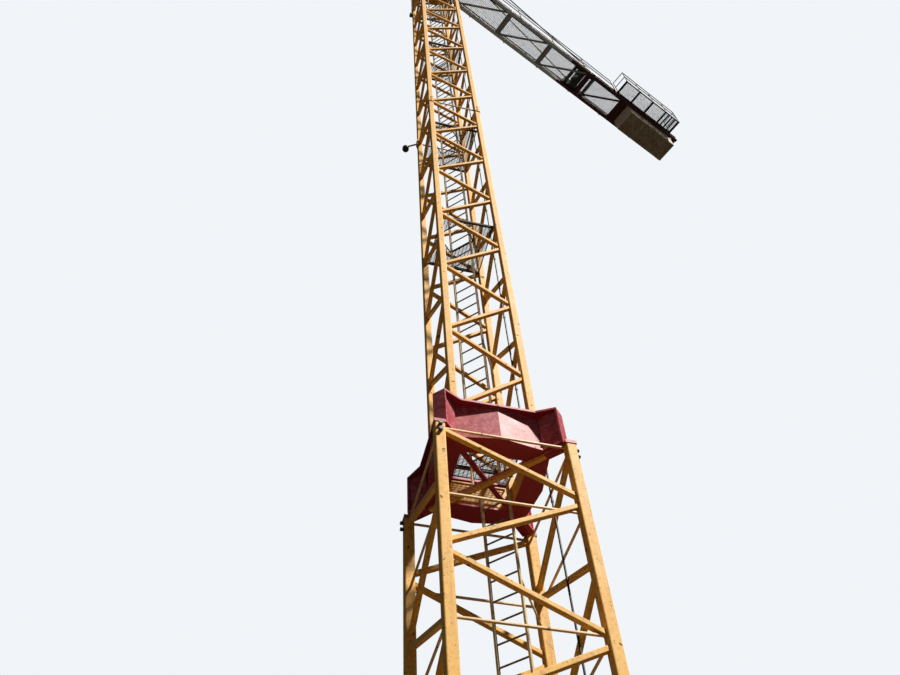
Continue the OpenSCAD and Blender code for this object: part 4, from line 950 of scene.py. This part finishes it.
service_y1 = -GIRDER_Y - FLANGE_HALF
service_y0 = service_y1 - SERVICE_W
service_z = GIRDER_LOW + GIRDER_T
service_top = service_z + SERVICE_T
service_end = SERVICE_START + SERVICE_L
bay = (SERVICE_L - SERVICE_BAR) / SERVICE_BAYS
across = [(s, SERVICE_BAR) for s in SERVICE_START + bay * np.arange(SERVICE_BAYS + 1)]
thin_s = service_end - SERVICE_BAR / 2 - bay / 4 * np.arange(1, 4) - SERVICE_THIN / 2
across += [(s, SERVICE_THIN) for s in thin_s]
lengthwise = (service_y0, service_y1 - SERVICE_BAR)
lows = [(s, service_y0, service_z) for s, _ in across] + [(SERVICE_START, y, service_z) for y in lengthwise]
highs = [(s + w, service_y1, service_top) for s, w in across] + \
        [(service_end, y + SERVICE_BAR, service_top) for y in lengthwise]
deck = grating(np.array([SERVICE_START, service_y0]), np.array([service_end, service_y1]), service_top,
               [], [], (lows[:1], highs[:1]))
join_pieces("service_platform_frame", "dark_steel", [
    upper_piece("frame_bars", boxes(lows, highs), pin_steel, "dark_steel"),
    upper_piece("deck_bars", deck, grating_zinc_painted_shade, "dark_steel")], "service_platform")
rail_y0, rail_y1 = service_y0 + RAIL / 2, service_y1 - 1.5 * RAIL
rail_z = service_top + GRATING_T
ends = (SERVICE_START + RAIL / 2, service_end - RAIL / 2)
places = [(s, rail_z + h * RAIL_H - RAIL / 2) for s in ends for h in (0.5, 1)]
side_rails = bars([(s, rail_y0, z) for s, z in places], [(s, rail_y1, z) for s, z in places],
                  round_section(RAIL))
post_top = rail_z + RAIL_H - RAIL / 2
end_posts = bars([(s, rail_y1, rail_z) for s in ends], [(s, rail_y1, post_top) for s in ends],
                 round_section(RAIL))
rails = [railing(SERVICE_START, service_end, rail_y0, rail_z, SERVICE_BAYS + 1), side_rails, end_posts]
upper_piece("service_rail_tubes", np.concatenate(rails), rail_steel_painted_shade, "galvanised_steel", "service_railing",
            smooth=True)

# The counterweight is five cast concrete slabs that hang between the girders.
# Their faces keep the marks of the boards, and a lifting eye stands on each slab.
SLAB_T = 0.240
SLAB_GAP = 0.003
SLABS = 5
SLAB_HEAD = 0.090
BOARD = 0.081
SOCKET = (0.026, 0.0025)
SOCKET_IN = 0.002
SOCKET_S = (-0.06, 0.06)
SOCKET_Y = (-0.14, 0.0, 0.14)
EYE_R = 0.045
EYE_ROD = 0.014
EYE_STEPS = 13
BOARD_TONES = ((0.46, 0.36, 0.20, 1), (0.58, 0.47, 0.30, 1))
GRAIN_TONE = (0.26, 0.20, 0.10, 1)
DAMP_TONE = (0.34, 0.20, 0.10, 1)
# The pale tone of faces that do not face down is painted light.
SIDE_TONE_PAINTED_LIGHT = (0.72, 0.60, 0.48, 1)
SEAM_TONE = (0.16, 0.12, 0.07, 1)

concrete, tree = new_finish("concrete")
texture = add_node(tree, "ShaderNodeTexCoord").outputs
along = add_node(tree, "ShaderNodeMapping", {"Vector": texture["Object"],
                                             "Rotation": (0, 0, -math.radians(REST_TURN))}).outputs[0]
axis = add_node(tree, "ShaderNodeSeparateXYZ", {0: along}).outputs["X"]
board = calculate(tree, "MULTIPLY", axis, 1 / BOARD)
number = calculate(tree, "FLOOR", board)
tint = add_node(tree, "ShaderNodeTexWhiteNoise", {"W": number}, noise_dimensions="1D").outputs["Value"]
seam = calculate(tree, "ABSOLUTE", calculate(tree, "SUBTRACT", calculate(tree, "FRACT", board), 0.5))
seam = grade(tree, seam, 0.45, 0.49, 0.0, 0.55)
grain = noise(tree, along, 1.0, 6.0, 0.65, (60, 5, 12))
stain = grade(tree, noise(tree, texture["Object"], 7.0, 6.0, 0.6), 0.44, 0.62)
facing = add_node(tree, "ShaderNodeSeparateXYZ", {0: texture["Normal"]}).outputs["Z"]
tone = mix_colours(tree, grain, GRAIN_TONE, mix_colours(tree, tint, *BOARD_TONES))
tone = mix_colours(tree, stain, tone, DAMP_TONE)
# Faces not facing down turn pale as painted light; the board tones left on undersides are partly own colour,
# partly painted shade.
tone = mix_colours(tree, grade(tree, facing, -0.8, -0.2), tone, SIDE_TONE_PAINTED_LIGHT)
tone = mix_colours(tree, seam, tone, SEAM_TONE)
relief = add_node(tree, "ShaderNodeBump", {"Height": calculate(tree, "MULTIPLY_ADD", seam, -1.0, grain),
                                           "Distance": 0.003, "Strength": 0.6})
end_finish(tree, {"Base Color": tone, "Roughness": 0.9, "Normal": relief.outputs[0]})
dress(concrete, "concrete", "counterweight")
slab_s = WEIGHT_START + (SLAB_T + SLAB_GAP) * np.arange(SLABS) + SLAB_T / 2
socket_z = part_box("counterweight")[0].z + SOCKET_IN
sockets = [(s + ds, y, socket_z) for s in slab_s for ds in SOCKET_S for y in SOCKET_Y]
upper_piece("slab_sockets", studs(sockets, -UP, *SOCKET, 12), pin_steel, "dark_steel")
turn = np.linspace(0, np.pi, EYE_STEPS)
arc = np.stack([np.zeros(EYE_STEPS), EYE_R * np.cos(turn),
                GIRDER_TOP + SLAB_HEAD + EYE_R * np.sin(turn)], axis=-1)
eyes = [tube_along(arc + (s, 0, 0), EYE_ROD, 10, fixed=(1, 0, 0)) for s in slab_s]
upper_piece("lifting_eyes", np.concatenate(eyes), pin_steel, "dark_steel", smooth=True)

# Two steel tie bars carry the counter-jib from the head's cheeks.
# They are pinned between pairs of lugs that are welded on the girders.
TIE_S = 4.480
TIE_LUG = (0.14, 0.012, 0.062)
TIE_LUG_Y = 0.02
TIE_LUG_SUNK = 0.002

# The tie bars' dark brown is the yellow mast paint darkened as painted shade.
tie_bar_paint_painted_shade = painted("tie_bar_paint_painted_shade", (0.15, 0.10, 0.045), (0.24, 0.17, 0.09), (0.08, 0.05, 0.03),
                        (0.05, 0.03, 0.02), streak=0.4, matt=0.65)
dress(tie_bar_paint_painted_shade, "mast_paint", "counter_tie_bars")
lugs = blocks([(TIE_S, y + off, GIRDER_TOP - TIE_LUG_SUNK) for off in (-TIE_LUG_Y, TIE_LUG_Y)
               for y in (-GIRDER_Y, GIRDER_Y)], TIE_LUG)
upper_piece("counter_tie_lugs", lugs, dark_red, "end_paint")

# The hoist winch stands on the counter-jib: a drum wound with rope between two flanges, and its motor.
# The rope is greased steel wire and lies in one layer of close turns.
WINCH_S = 3.800
WINCH_AXLE = 0.220
DRUM = 0.182
DRUM_L = 0.300
DRUM_EDGE = 0.025
ROPE = 0.008
ROPE_STEPS = 24

winch_paint = painted("winch_paint", (0.22, 0.30, 0.25), (0.32, 0.39, 0.35), (0.16, 0.14, 0.12),
                      (0.08, 0.06, 0.04))
dress(winch_paint, "winch_paint", "hoist_winch")
rope_finish, tree = new_finish("wire_rope")
where = add_node(tree, "ShaderNodeTexCoord").outputs["Object"]
twist = add_node(tree, "ShaderNodeMapping", {"Vector": where, "Rotation": (0.6, 0.6, 0)})
strands = add_node(tree, "ShaderNodeTexWave", {"Vector": twist.outputs[0], "Scale": 60.0,
                                               "Distortion": 0.0}).outputs["Fac"]
relief = add_node(tree, "ShaderNodeBump", {"Height": strands, "Distance": 0.001})
end_finish(tree, {"Base Color": mix_colours(tree, strands, (0.03, 0.028, 0.026, 1), (0.14, 0.135, 0.13, 1)),
                  "Metallic": 0.6, "Roughness": 0.5, "Normal": relief.outputs[0]})
turns = int((DRUM_L - 2 * DRUM_EDGE) / ROPE)
t = np.linspace(0, turns, turns * ROPE_STEPS + 1)
wound = (DRUM + ROPE) / 2
helix = np.stack([WINCH_S + wound * np.cos(2 * np.pi * t), DRUM_EDGE - DRUM_L / 2 + t * ROPE,
                  GIRDER_TOP + WINCH_AXLE + wound * np.sin(2 * np.pi * t)], axis=-1)
upper_piece("drum_rope", tube_along(helix, ROPE, 6, fixed=(0, 1, 0)), rope_finish, "wire_rope",
            smooth=True)

# The trolley is a welded frame that runs on the jib's lower chords with four steel wheels.
# The hook block hangs from it on two falls of wire rope.
TROLLEY_S = -7.0
TROLLEY_L = 0.620
FALL_GAP = 0.170
WHEEL = (0.110, 0.018)
WHEEL_INSET = 0.09
WHEEL_DROP = 0.075

dress(zinc, "galvanised_steel", "trolley")
hook_paint = painted("hook_paint", (0.70, 0.30, 0.04), (0.75, 0.40, 0.10), (0.10, 0.06, 0.03),
                     (0.04, 0.03, 0.03), chips=1.0)
dress(hook_paint, "hook_paint", "hook_block")
wheel_z = JIB_LOW - JIB_CHORD / 2 - WHEEL_DROP
wheels = [studs([(TROLLEY_S + s * (TROLLEY_L / 2 - WHEEL_INSET), y * (JIB_W + JIB_CHORD) / 2, wheel_z)],
                (0, y, 0), *WHEEL, 28) for s in (-1, 1) for y in (-1, 1)]
upper_piece("trolley_wheels", np.concatenate(wheels), pin_steel, "dark_steel", smooth=True)
rope_low, rope_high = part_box("hoist_rope")
fall_s = [TROLLEY_S + s * FALL_GAP / 2 for s in (-1, 1)]
falls = bars([(s, 0, rope_low.z) for s in fall_s], [(s, 0, rope_high.z) for s in fall_s],
             round_section(ROPE))
upper_piece("hoist_rope_falls", falls, rope_finish, "wire_rope", "hoist_rope", smooth=True)
